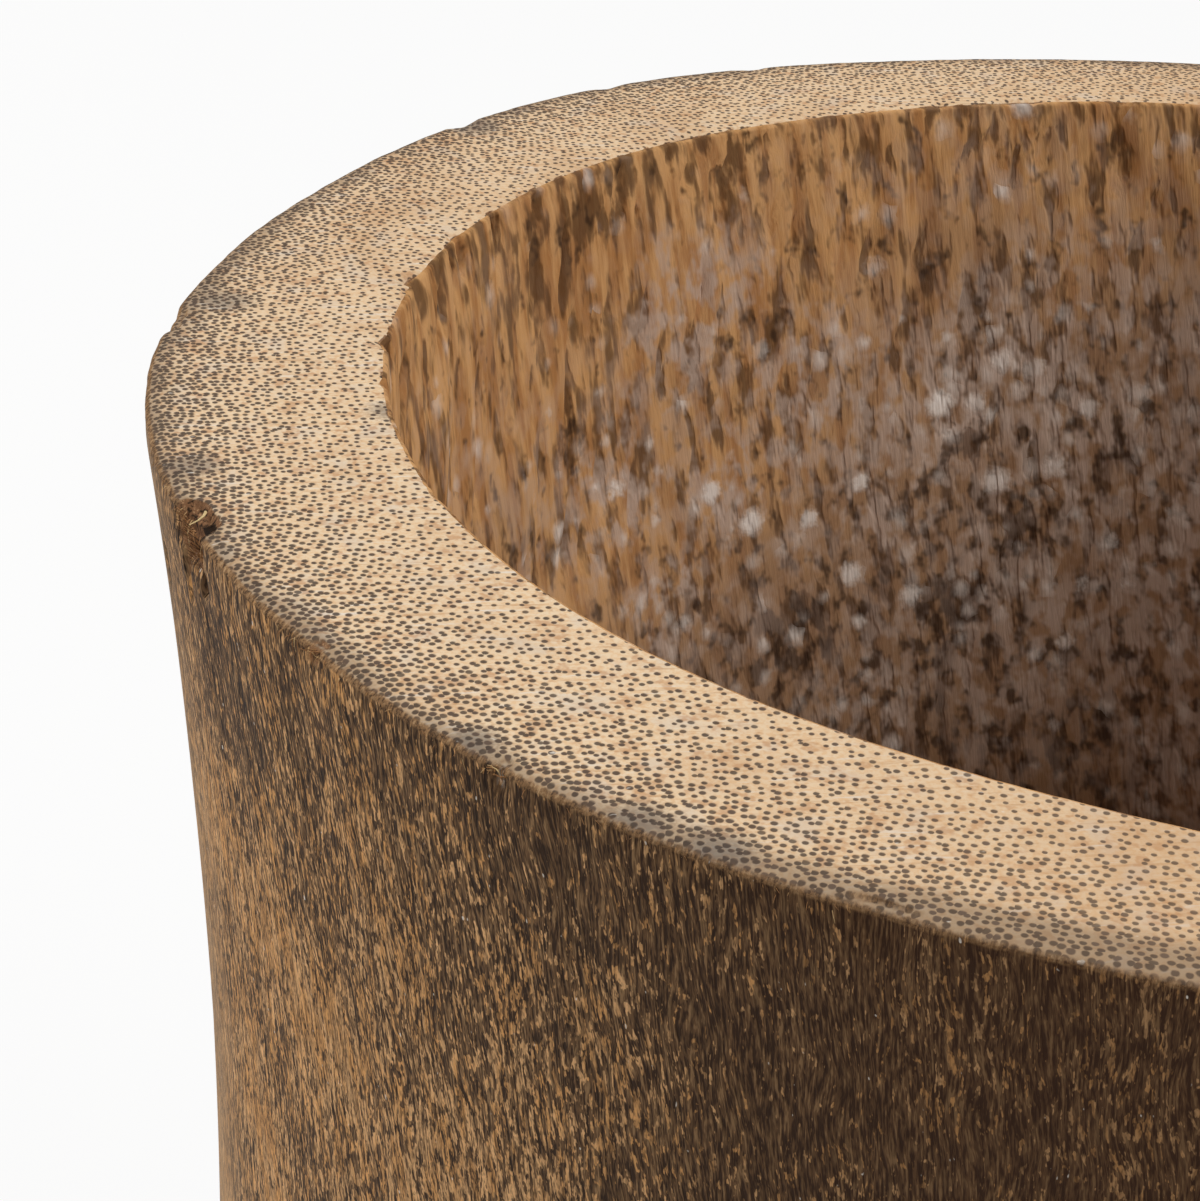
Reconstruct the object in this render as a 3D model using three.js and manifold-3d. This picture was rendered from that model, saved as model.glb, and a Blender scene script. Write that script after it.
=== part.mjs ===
// Wooden flower pot: a length of palm trunk, hollowed right through, with a round floor board let into a
// rabbet at its lower end. Wooden pegs hold the board, and a bead of pitch seals its edge from above.
// Sizes are in millimetres with +Z up. The pot stands on z = 0, centred on the origin.

import * as THREE from "three";
import { mergeVertices } from "three/addons/utils/BufferGeometryUtils.js";
import Module from "manifold-3d";

const wasm = await Module();
wasm.setup();

const { degToRad, lerp } = THREE.MathUtils;

// Outside of the trunk
const potHeight = 290;
const rimRadius = 140.3;
const waistDrop = 119; // from the rim down to the narrowest place
const waistDraw = 8; // how far the trunk draws in there from the rim
const footFlare = 12.7; // how far it swells out again from the waist to the ground
const rimRound = 1.1; // worn outer arris of the rim
const footChamfer = 2.5;

// Hollow
const rimWall = 27.6;
const footWall = 42;
const lipRound = 0.6; // inner arris of the rim

// Floor board and the rabbet that it sits in
const floorThickness = 24;
const floorRecess = 8; // underside of the board above the ground
const ledgeWidth = 11; // shoulder that the board is pushed up against
const floorChamfer = 1.5;
const drainDiameter = 22;

// Pegs
const pegCount = 8;
const firstPegAngle = 14; // degrees
const pegDiameter = 9;
const pegBite = 28; // length of a peg inside the board
const pegSink = 0.6; // outer end of a peg below the face of the trunk
const pegChamfer = 1;

// Bead of pitch
const sealWidth = 9;
const sealHeight = 8;
const sealEdge = 0.8; // thickness where the bead runs out

// Clearances
const seatGap = 0.3; // between faces that rest on each other
const boardClearance = 0.4; // round the edge of the board
const pegClearance = 0.3; // round a peg in its hole
const pegEndClearance = 0.6;

// Low waves that take an outline off a true circle: number of lobes, height in millimetres and the angle
// of the first crest in degrees. They turn and deepen a little on the way down the trunk.
const trunkWaves = [
  { lobes: 2, height: 1.4, crest: 0 },
  { lobes: 3, height: 1.0, crest: 74 },
  { lobes: 4, height: 0.6, crest: 45 },
  { lobes: 5, height: 0.8, crest: 7 },
  { lobes: 6, height: 0.4, crest: 10 },
  { lobes: 7, height: 0.6, crest: 45 },
];
const hollowWaves = [
  { lobes: 1, height: 0.3, crest: 82 },
  { lobes: 2, height: 0.8, crest: -30 },
  { lobes: 3, height: 0.8, crest: -49 },
  { lobes: 4, height: 0.4, crest: 29 },
  { lobes: 5, height: 0.4, crest: 8 },
  { lobes: 6, height: 0.7, crest: 48 },
  { lobes: 7, height: 0.5, crest: 43 },
];
const trueCircle = [];
const waveTurn = 12; // degrees, from the rim to the ground
const footWaveGain = 1.3;

// Fineness of the surfaces
const roundSegments = 96;
const pegSegments = 20;
const outerLevels = 12;
const innerLevels = 6;
const arrisSteps = 3;
const sealSteps = 4;

// Heights and radii that follow from the sizes above
const waistHeight = potHeight - waistDrop;
const waistRadius = rimRadius - waistDraw;
const footRadius = waistRadius + footFlare;
const floorTop = floorRecess + floorThickness;
const ledgeHeight = floorTop + seatGap;
const hollowRimRadius = rimRadius - rimWall;
const hollowFootRadius = footRadius - footWall;
const rabbetRadius = hollowFootRadius + ledgeWidth;
const floorRadius = rabbetRadius - boardClearance;
const pegRadius = pegDiameter / 2;
const pegHeight = floorRecess + floorThickness / 2;

const palmWood = new THREE.MeshStandardMaterial({ color: 0x7d5f42, roughness: 0.85, metalness: 0 });
const boardWood = new THREE.MeshStandardMaterial({ color: 0x9c7a54, roughness: 0.8, metalness: 0 });
const pegWood = new THREE.MeshStandardMaterial({ color: 0xb8935f, roughness: 0.75, metalness: 0 });
const pitch = new THREE.MeshStandardMaterial({ color: 0x1d1814, roughness: 0.55, metalness: 0 });

const pot = new THREE.Group();

// Mean radius of the trunk's outside at a height: narrowest at the waist, wider at the rim and the ground
function trunkMean(height) {
  if (height > waistHeight) {
    return waistRadius + waistDraw * ((height - waistHeight) / waistDrop) ** 2;
  }
  const down = (waistHeight - height) / waistHeight;
  return waistRadius + (footFlare * (1 - Math.cos(Math.PI * down))) / 2;
}

// Mean radius of the hollow at a height: an even taper from the rim to the ledge
function hollowMean(height) {
  const up = (height - ledgeHeight) / (potHeight - ledgeHeight);
  return lerp(hollowFootRadius, hollowRimRadius, up);
}

// How far an outline with these waves stands off its circle, at an angle in radians and a height
function waveOffset(waves, angle, height) {
  const down = 1 - height / potHeight;
  const turn = degToRad(waveTurn) * down;
  let offset = 0;
  for (const wave of waves) {
    offset += wave.height * Math.cos(wave.lobes * (angle - turn - degToRad(wave.crest)));
  }
  return offset * lerp(1, footWaveGain, down);
}

// A closed profile of { radius, height, waves }, turned about Z. Each point then moves along its own
// radius to follow the waves of its outline.
function turned(profile) {
  const points = profile.map((point) => new THREE.Vector2(point.radius, point.height));
  points.push(points[0].clone());
  const geometry = new THREE.LatheGeometry(points, roundSegments);
  geometry.rotateX(Math.PI / 2);
  const position = geometry.attributes.position;
  for (let i = 0; i < position.count; i++) {
    const { radius, height, waves } = profile[(i % points.length) % profile.length];
    const angle = Math.atan2(position.getY(i), position.getX(i));
    const scale = (radius + waveOffset(waves, angle, height)) / radius;
    position.setXY(i, position.getX(i) * scale, position.getY(i) * scale);
  }
  return joined(geometry);
}

// The same surface with the vertices that faces share made one
function joined(geometry) {
  geometry.deleteAttribute("normal");
  geometry.deleteAttribute("uv");
  return mergeVertices(geometry);
}

function toSolid(geometry) {
  const vertProperties = new Float32Array(geometry.attributes.position.array);
  const triVerts = new Uint32Array(geometry.index.array);
  return new wasm.Manifold(new wasm.Mesh({ numProp: 3, vertProperties, triVerts }));
}

function fromSolid(solid) {
  const mesh = solid.getMesh();
  const geometry = new THREE.BufferGeometry();
  geometry.setAttribute("position", new THREE.BufferAttribute(mesh.vertProperties, 3));
  geometry.setIndex(new THREE.BufferAttribute(mesh.triVerts, 1));
  return geometry;
}

function addPiece(name, geometry, material) {
  geometry.computeVertexNormals();
  const mesh = new THREE.Mesh(geometry, material);
  mesh.name = name;
  pot.add(mesh);
  return mesh;
}

// Outside of the trunk, from the chamfer at the ground up to the worn arris of the rim
function outerProfile() {
  const points = [{ radius: trunkMean(0) - footChamfer, height: 0, waves: trunkWaves }];
  for (let i = 0; i <= outerLevels; i++) {
    const height = lerp(footChamfer, potHeight - rimRound, i / outerLevels);
    points.push({ radius: trunkMean(height), height, waves: trunkWaves });
  }
  const arrisCentre = trunkMean(potHeight) - rimRound;
  for (let i = 1; i <= arrisSteps; i++) {
    const turn = (Math.PI / 2) * (i / arrisSteps);
    const radius = arrisCentre + rimRound * Math.cos(turn);
    const height = potHeight - rimRound + rimRound * Math.sin(turn);
    points.push({ radius, height, waves: trunkWaves });
  }
  return points;
}

// Hollow, from the lip of the rim down to the ledge
function innerProfile() {
  const points = [];
  const lipCentre = hollowRimRadius + lipRound;
  for (let i = 0; i < arrisSteps; i++) {
    const turn = (Math.PI / 2) * (i / arrisSteps);
    const radius = lipCentre - lipRound * Math.sin(turn);
    const height = potHeight - lipRound + lipRound * Math.cos(turn);
    points.push({ radius, height, waves: hollowWaves });
  }
  for (let i = 0; i <= innerLevels; i++) {
    const height = lerp(potHeight - lipRound, ledgeHeight, i / innerLevels);
    points.push({ radius: hollowMean(height), height, waves: hollowWaves });
  }
  return points;
}

// Round rabbet for the board, cut up into the trunk from the ground to the ledge
function rabbetProfile() {
  return [
    { radius: rabbetRadius, height: ledgeHeight, waves: trueCircle },
    { radius: rabbetRadius, height: floorChamfer, waves: trueCircle },
    { radius: rabbetRadius + floorChamfer, height: 0, waves: trueCircle },
  ];
}

// Round board with a drain hole through its middle
function floorBoard() {
  const drainRadius = drainDiameter / 2;
  const corners = [
    [drainRadius + floorChamfer, floorRecess],
    [floorRadius - floorChamfer, floorRecess],
    [floorRadius, floorRecess + floorChamfer],
    [floorRadius, floorTop],
    [drainRadius + floorChamfer, floorTop],
    [drainRadius, floorTop - floorChamfer],
    [drainRadius, floorRecess + floorChamfer],
  ];
  return turned(corners.map(([radius, height]) => ({ radius, height, waves: trueCircle })));
}

// Bead with a hollow face, in the corner between the wall and the board
function sealBead() {
  const bottom = floorTop + seatGap;
  const top = bottom + sealHeight;
  const foot = hollowMean(bottom) - seatGap;
  const points = [
    { radius: foot - sealWidth, height: bottom, waves: hollowWaves },
    { radius: foot, height: bottom, waves: hollowWaves },
    { radius: hollowMean(top) - seatGap, height: top, waves: hollowWaves },
  ];
  for (let i = 0; i <= sealSteps; i++) {
    const turn = (Math.PI / 2) * (i / sealSteps);
    const radius = foot - sealEdge - (sealWidth - sealEdge) * (1 - Math.cos(turn));
    const height = top - (sealHeight - sealEdge) * Math.sin(turn);
    points.push({ radius, height, waves: hollowWaves });
  }
  return turned(points);
}

// Peg along +X from its tip to its driven end, with both ends chamfered
function pegBody(length) {
  const points = [
    new THREE.Vector2(0, 0),
    new THREE.Vector2(pegRadius - pegChamfer, 0),
    new THREE.Vector2(pegRadius, pegChamfer),
    new THREE.Vector2(pegRadius, length - pegChamfer),
    new THREE.Vector2(pegRadius - pegChamfer, length),
    new THREE.Vector2(0, length),
  ];
  return new THREE.LatheGeometry(points, pegSegments).rotateZ(-Math.PI / 2);
}

// Drilled hole along +X, from its blind end in the board out through the face of the trunk
function pegHole(length) {
  const radius = pegRadius + pegClearance;
  const hole = new THREE.CylinderGeometry(radius, radius, length, pegSegments);
  return joined(hole.rotateZ(-Math.PI / 2).translate(length / 2, 0, 0));
}

const pegTip = floorRadius - pegBite;
const holeTip = pegTip - pegEndClearance;
const holeLength = trunkMean(pegHeight) + rimWall - holeTip;

let trunk = toSolid(turned([...outerProfile(), ...innerProfile(), ...rabbetProfile()]));
let board = toSolid(floorBoard());

for (let i = 0; i < pegCount; i++) {
  const angle = degToRad(firstPegAngle) + (i * 2 * Math.PI) / pegCount;
  const hole = toSolid(pegHole(holeLength).translate(holeTip, 0, pegHeight).rotateZ(angle));
  trunk = trunk.subtract(hole);
  board = board.subtract(hole);

  const face = trunkMean(pegHeight) + waveOffset(trunkWaves, angle, pegHeight);
  const peg = addPiece(`floor_peg_${i + 1}`, pegBody(face - pegSink - pegTip), pegWood);
  peg.rotation.z = angle;
  peg.position.set(pegTip * Math.cos(angle), pegTip * Math.sin(angle), pegHeight);
}

const shell = addPiece("trunk_shell", fromSolid(trunk), palmWood);
addPiece("floor_disc", fromSolid(board), boardWood);
addPiece("floor_seal", sealBead(), pitch);

// The waves aren't quite alike on opposite sides, so the pot is moved until its outline is centred.
const middle = new THREE.Box3().setFromObject(shell).getCenter(new THREE.Vector3());
pot.position.set(-middle.x, -middle.y, 0);

export default pot;
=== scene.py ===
"""Dresses the wooden flower pot: a hollowed length of palm trunk with a pegged floor board.

Everything is in metres in the frame of the CAD model: +Z up, -Y towards the camera, +X to its right.
"""

import logging
import math
from dataclasses import dataclass
from enum import Enum
from typing import Optional, Sequence, Union

import bmesh
import bpy
import numpy as np
from mathutils import Matrix, Vector, noise


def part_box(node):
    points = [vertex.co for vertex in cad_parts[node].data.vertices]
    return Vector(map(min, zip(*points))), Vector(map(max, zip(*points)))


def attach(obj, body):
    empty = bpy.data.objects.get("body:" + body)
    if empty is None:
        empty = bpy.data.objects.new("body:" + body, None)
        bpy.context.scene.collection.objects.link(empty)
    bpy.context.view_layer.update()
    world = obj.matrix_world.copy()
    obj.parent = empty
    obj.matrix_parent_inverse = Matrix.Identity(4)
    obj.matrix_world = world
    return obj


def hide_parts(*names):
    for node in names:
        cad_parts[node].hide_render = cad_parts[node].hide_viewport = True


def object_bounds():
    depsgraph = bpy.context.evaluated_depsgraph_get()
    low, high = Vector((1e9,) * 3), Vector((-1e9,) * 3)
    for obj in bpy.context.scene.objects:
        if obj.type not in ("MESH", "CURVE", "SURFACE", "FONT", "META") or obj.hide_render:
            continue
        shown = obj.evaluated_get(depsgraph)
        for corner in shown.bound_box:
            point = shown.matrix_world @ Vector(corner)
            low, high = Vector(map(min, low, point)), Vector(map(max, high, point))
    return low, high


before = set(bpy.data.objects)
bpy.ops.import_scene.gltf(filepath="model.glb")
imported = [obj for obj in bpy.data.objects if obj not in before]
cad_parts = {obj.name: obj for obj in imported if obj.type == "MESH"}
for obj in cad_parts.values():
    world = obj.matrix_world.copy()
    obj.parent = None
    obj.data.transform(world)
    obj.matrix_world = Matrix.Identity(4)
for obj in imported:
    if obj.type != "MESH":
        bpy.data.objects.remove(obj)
CAD_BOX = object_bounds()
BOARD_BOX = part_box("floor_disc")

log = logging.getLogger("flower_pot")

MM = 0.001
BODY = "root"
FIBRE_LEAN = math.radians(5.5)  # of the fibres on the outside
WORN_CREASE = math.radians(50.0)  # edges sharper than this stay sharp on worn pieces
CUT_CREASE = math.radians(35.0)  # the same on pieces with clean cuts

Array = np.ndarray
Socket = bpy.types.NodeSocket
Value = Union[float, "Level"]
Colour = tuple[float, float, float, float]
Paint = Union[Colour, Socket]
Triple = tuple[float, float, float]


class Slot(Enum):
    """Names of the material slots, one of which is passed with each piece."""

    PALM = "palm_wood"
    BOARD = "board_wood"
    PEG = "peg_wood"
    PITCH = "pitch"


class Grain(Enum):
    """Numbers of the trunk's two materials."""

    OUTSIDE = 0
    HOLLOW = 1


def tone(red: float, green: float, blue: float) -> Colour:
    """Turn a screen colour into a linear one.

    Args:
        red: Red from 0 to 255.
        green: Green from 0 to 255.
        blue: Blue from 0 to 255.

    Returns:
        The linear colour with full alpha.
    """

    def linear(level: float) -> float:
        """Undo the screen's curve for one channel."""
        share = level / 255.0
        return share / 12.92 if share <= 0.04045 else ((share + 0.055) / 1.055) ** 2.4

    return (linear(red), linear(green), linear(blue), 1.0)


def polar(angle: float, radius: float, height: float) -> Vector:
    """Place at an angle about the Z axis, a radius from it and a height."""
    return Vector((radius * math.cos(angle), radius * math.sin(angle), height))


def smooth(values: Array) -> Array:
    """Ease values from 0 to 1 with a level start and end."""
    share = np.clip(values, 0.0, 1.0)
    return share * share * (3.0 - 2.0 * share)


def eased(value: float) -> float:
    """Ease one number from 0 to 1 with a level start and end."""
    return float(smooth(np.array(value)))


def noise_at(points: Array, seed: float) -> Array:
    """Sample smooth noise.

    Args:
        points: One row of three coordinates for each sample, one unit to a lump.
        seed: Offset that picks another stretch of the noise.

    Returns:
        One value from about -1 to 1 for each row.
    """
    return np.array([noise.noise(Vector(row)) for row in points + seed])


@dataclass(frozen=True)
class Wave:
    """One low wave of an outline: lobes, height in metres and first crest in degrees."""

    lobes: int
    height: float
    crest: float

    def offset(self, angle: Array) -> Array:
        """Height of the wave at each angle."""
        return self.height * np.cos(self.lobes * (angle - math.radians(self.crest)))


@dataclass(frozen=True)
class Timber:
    """Sizes of the trunk, the same as the solid's.

    The outline is a circle about the trunk's axis with low waves on it, which turn and deepen a
    little on the way down.
    """

    rim_radius: float = 140.3 * MM
    waist_drop: float = 119.0 * MM
    waist_draw: float = 8.0 * MM
    foot_flare: float = 12.7 * MM
    rim_round: float = 1.1 * MM
    foot_chamfer: float = 2.5 * MM
    rim_wall: float = 27.6 * MM
    foot_wall: float = 42.0 * MM
    lip_round: float = 0.6 * MM
    ledge_width: float = 11.0 * MM
    floor_chamfer: float = 1.5 * MM
    seat_gap: float = 0.3 * MM
    drain_radius: float = 11.0 * MM
    peg_clearance: float = 0.3 * MM
    peg_end_clearance: float = 0.6 * MM
    wave_turn: float = math.radians(12.0)
    foot_wave_gain: float = 1.3
    trunk_waves: tuple[Wave, ...] = (
        Wave(2, 1.4 * MM, 0.0),
        Wave(3, 1.0 * MM, 74.0),
        Wave(4, 0.6 * MM, 45.0),
        Wave(5, 0.8 * MM, 7.0),
        Wave(6, 0.4 * MM, 10.0),
        Wave(7, 0.6 * MM, 45.0),
    )
    hollow_waves: tuple[Wave, ...] = (
        Wave(1, 0.3 * MM, 82.0),
        Wave(2, 0.8 * MM, -30.0),
        Wave(3, 0.8 * MM, -49.0),
        Wave(4, 0.4 * MM, 29.0),
        Wave(5, 0.4 * MM, 8.0),
        Wave(6, 0.7 * MM, 48.0),
        Wave(7, 0.5 * MM, 43.0),
    )

    @property
    def height(self) -> float:
        """Height of the pot, from the CAD box."""
        return CAD_BOX[1][2]

    @property
    def axis(self) -> Vector:
        """Foot of the trunk's axis, which runs up through the middle of the floor board."""
        low, high = BOARD_BOX
        return Vector(((low.x + high.x) / 2, (low.y + high.y) / 2, 0.0))

    @property
    def ledge_height(self) -> float:
        """Height of the shoulder above the floor board."""
        return BOARD_BOX[1].z + self.seat_gap

    @property
    def waist_radius(self) -> float:
        """Mean radius at the narrowest place."""
        return self.rim_radius - self.waist_draw

    @property
    def foot_radius(self) -> float:
        """Mean radius on the ground."""
        return self.waist_radius + self.foot_flare

    @property
    def rabbet_radius(self) -> float:
        """Radius of the rabbet that the floor board sits in."""
        return self.foot_radius - self.foot_wall + self.ledge_width

    def trunk_mean(self, height: float) -> float:
        """Mean radius of the outside at a height.

        Args:
            height: Height above the ground.

        Returns:
            The radius.
        """
        waist_height = self.height - self.waist_drop
        if height > waist_height:
            return self.waist_radius + self.waist_draw * ((height - waist_height) / self.waist_drop) ** 2
        down = (waist_height - height) / waist_height
        return self.waist_radius + self.foot_flare * (1 - math.cos(math.pi * down)) / 2

    def hollow_mean(self, height: float) -> float:
        """Mean radius of the hollow at a height.

        Args:
            height: Height above the ground.

        Returns:
            The radius.
        """
        foot = self.foot_radius - self.foot_wall
        rim = self.rim_radius - self.rim_wall
        return foot + (rim - foot) * (height - self.ledge_height) / (self.height - self.ledge_height)

    def offset(self, waves: Sequence[Wave], angle: Array, height: Array) -> Array:
        """Find how far an outline stands off its circle.

        Args:
            waves: Waves of the outline.
            angle: Angle of each point about the axis.
            height: Height of each point.

        Returns:
            The distance for each point.
        """
        down = 1.0 - height / self.height
        turned = angle - self.wave_turn * down
        gain = 1.0 + (self.foot_wave_gain - 1.0) * down
        return sum(wave.offset(turned) for wave in waves) * gain


@dataclass(frozen=True)
class Pattern:
    """A noise pattern: lumps to a millimetre along X, Y and Z, octaves, roughness and a seed."""

    lumps: Triple
    detail: float = 2.0
    rough: float = 0.5
    seed: float = 0.0


def even(lumps: float, detail: float = 2.0, rough: float = 0.5, seed: float = 0.0) -> Pattern:
    """Pattern that is alike in every direction."""
    return Pattern((lumps, lumps, lumps), detail, rough, seed)


def drawn(across: float, along: float, detail: float = 2.0, rough: float = 0.5,
          seed: float = 0.0) -> Pattern:
    """Pattern that is drawn out along upright fibres."""
    return Pattern((across, across, along), detail, rough, seed)


class Level:
    """A number that varies over a surface, held as the socket that gives it.

    Arithmetic on levels adds Math nodes, so that a finish reads as sums and products of patterns.
    """

    def __init__(self, graph: "Graph", socket: Socket) -> None:
        """Hold a socket of a material."""
        self.graph = graph
        self.socket = socket

    def __add__(self, other: Value) -> "Level":
        """Sum."""
        return self.graph.math("ADD", self, other)

    def __sub__(self, other: Value) -> "Level":
        """Difference."""
        return self.graph.math("SUBTRACT", self, other)

    def __rsub__(self, other: float) -> "Level":
        """Difference from a number."""
        return self.graph.math("SUBTRACT", other, self)

    def __mul__(self, other: Value) -> "Level":
        """Product."""
        return self.graph.math("MULTIPLY", self, other)

    def __truediv__(self, other: Value) -> "Level":
        """Quotient."""
        return self.graph.math("DIVIDE", self, other)

    def __abs__(self) -> "Level":
        """Size without the sign."""
        return self.graph.math("ABSOLUTE", self)


class Graph:
    """Builds the nodes of one material."""

    def __init__(self, name: str) -> None:
        """Start a material with a bare Principled shader.

        Args:
            name: Name of the material.
        """
        self.material = bpy.data.materials.new(name)
        self.material.use_nodes = True
        self.tree = self.material.node_tree
        self.shader = self.tree.nodes["Principled BSDF"]

    def node(self, kind: str, inputs: Optional[dict] = None, **settings) -> bpy.types.Node:
        """Add a node.

        Args:
            kind: Type of the node without its ShaderNode prefix.
            inputs: Values or sockets by the name or number of the input.
            **settings: Properties of the node.

        Returns:
            The new node.
        """
        made = self.tree.nodes.new("ShaderNode" + kind)
        for key, setting in settings.items():
            setattr(made, key, setting)
        for key, value in (inputs or {}).items():
            self.feed(made.inputs[key], value)
        return made

    def feed(self, target: Socket, value: Union[Value, Socket, Sequence[float]]) -> None:
        """Link a level or a socket to an input, or set the input's value.

        Args:
            target: Input of a node.
            value: What it gets.
        """
        source = value.socket if isinstance(value, Level) else value
        if isinstance(source, bpy.types.NodeSocket):
            self.tree.links.new(source, target)
        else:
            target.default_value = source

    def math(self, operation: str, first: Value, second: Value = 0.0) -> Level:
        """Add a Math node."""
        return Level(self, self.node("Math", {0: first, 1: second}, operation=operation).outputs[0])

    def vector(self, operation: str, first: Socket, second: Sequence[float] = (0.0, 0.0, 0.0)) -> Socket:
        """Add a Vector Math node and return its vector."""
        return self.node("VectorMath", {0: first, 1: second}, operation=operation).outputs["Vector"]

    def measure(self, operation: str, first: Socket, second: Sequence[float] = (0.0, 0.0, 0.0)) -> Level:
        """Add a Vector Math node that gives a number, such as a length or a distance."""
        made = self.node("VectorMath", {0: first, 1: second}, operation=operation)
        return Level(self, made.outputs["Value"])

    def scaled(self, vector: Socket, scale: Value) -> Socket:
        """Scale a vector by one number."""
        return self.node("VectorMath", {0: vector, "Scale": scale}, operation="SCALE").outputs["Vector"]

    def turned(self, vector: Socket, angle: Value) -> Socket:
        """Turn a vector about Z."""
        inputs = {"Vector": vector, "Angle": angle}
        return self.node("VectorRotate", inputs, rotation_type="Z_AXIS").outputs[0]

    def split(self, vector: Socket) -> tuple[Level, Level, Level]:
        """Split a vector or a colour into its three numbers."""
        x, y, z = self.node("SeparateXYZ", {0: vector}).outputs
        return Level(self, x), Level(self, y), Level(self, z)

    def joined(self, x: Value, y: Value, z: Value = 0.0) -> Socket:
        """Join three numbers into a vector."""
        return self.node("CombineXYZ", {0: x, 1: y, 2: z}).outputs[0]

    def texture(self, pattern: Pattern, place: Socket) -> bpy.types.Node:
        """Add the noise texture of a pattern.

        Args:
            pattern: What the noise looks like.
            place: Place that it is read at.

        Returns:
            The noise node.
        """
        moved = self.vector("MULTIPLY", place, pattern.lumps)
        if pattern.seed:
            moved = self.vector("ADD", moved, (pattern.seed, pattern.seed, pattern.seed))
        inputs = {"Vector": moved, "Scale": 1.0, "Detail": pattern.detail, "Roughness": pattern.rough}
        return self.node("TexNoise", inputs)

    def noise(self, pattern: Pattern, place: Socket) -> Level:
        """Value of a pattern, from 0 to 1."""
        return Level(self, self.texture(pattern, place).outputs["Fac"])

    def shifts(self, pattern: Pattern, place: Socket) -> Socket:
        """Vector whose three numbers each follow a pattern, from -0.5 to 0.5."""
        return self.vector("SUBTRACT", self.texture(pattern, place).outputs["Color"], (0.5, 0.5, 0.5))

    def step(self, value: Level, low: Value, high: Value, start: Value = 0.0, end: Value = 1.0) -> Level:
        """Map a value smoothly from low..high to start..end."""
        inputs = {"Value": value, 1: low, 2: high, 3: start, 4: end}
        return Level(self, self.node("MapRange", inputs, interpolation_type="SMOOTHSTEP").outputs[0])

    def near(self, place: Socket, spot: Vector, reach: float, ragged: Value) -> Level:
        """How close a place is to a spot, from 1 at the spot to 0 at its ragged outline."""
        away = self.measure("DISTANCE", place, tuple(spot)) + ragged
        return self.step(away, 0.3 * reach, 1.3 * reach, 1.0, 0.0)

    def mix(self, share: Value, first: Paint, second: Paint) -> Socket:
        """Mix two colours."""
        inputs = {"Factor": share, 6: first, 7: second}
        return self.node("Mix", inputs, data_type="RGBA").outputs[2]

    def wash(self, under: Paint, over: Paint, value: Level, low: float, high: float,
             most: float = 1.0) -> Socket:
        """Lay a colour over another where a value rises through low..high, up to a share.

        Args:
            under: Colour that is there.
            over: Colour that is laid over it.
            value: Value that says where.
            low: Value at which nothing of it shows.
            high: Value from which as much of it shows as can.
            most: How much that is, from 0 to 1.

        Returns:
            The mixed colour.
        """
        return self.mix(self.step(value, low, high, 0.0, most), under, over)

    def washes(self, under: Paint, *coats: tuple) -> Socket:
        """Lay several colours over one another, with a row of what wash takes for each.

        Args:
            under: Colour that is there.
            *coats: Colour, value, low and high of each coat, and most where it has one.

        Returns:
            The mixed colour.
        """
        for coat in coats:
            under = self.wash(under, *coat)
        return under

    def blend(self, share: Value, first: Value, second: Value) -> Level:
        """Mix two numbers."""
        inputs = {"Factor": share, 2: first, 3: second}
        return Level(self, self.node("Mix", inputs, data_type="FLOAT").outputs[0])

    def attribute(self, name: str) -> Level:
        """Read a number that the mesh carries."""
        return Level(self, self.node("Attribute", attribute_name=name).outputs["Fac"])

    def millimetres(self, origin: Vector) -> Socket:
        """Object coordinates in millimetres from an origin.

        Args:
            origin: Point that the millimetres count from.

        Returns:
            The place.
        """
        place = self.node("TexCoord").outputs["Object"]
        moved = self.vector("SUBTRACT", place, tuple(origin))
        return self.node("Mapping", {"Vector": moved, "Scale": (1 / MM, 1 / MM, 1 / MM)}).outputs[0]

    def facing_up(self) -> Level:
        """How much the surface faces up or down, from 0 to 1."""
        normal = self.node("TexCoord").outputs["Normal"]
        return abs(self.split(normal)[2])

    def finish(self, colour: Socket, roughness: Value, relief: Level, strength: float,
               specular: float) -> bpy.types.Material:
        """Dress the shader.

        Args:
            colour: Base colour.
            roughness: Roughness.
            relief: Height of the surface in millimetres.
            strength: Share of the relief that shows.
            specular: Specular level of the bare surface.

        Returns:
            The finished material.
        """
        bump = self.node("Bump", {"Strength": strength, "Distance": MM, "Height": relief})
        self.feed(self.shader.inputs["Base Color"], colour)
        self.feed(self.shader.inputs["Roughness"], roughness)
        self.feed(self.shader.inputs["Normal"], bump.outputs[0])
        self.shader.inputs["Specular IOR Level"].default_value = specular
        return self.material


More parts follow.
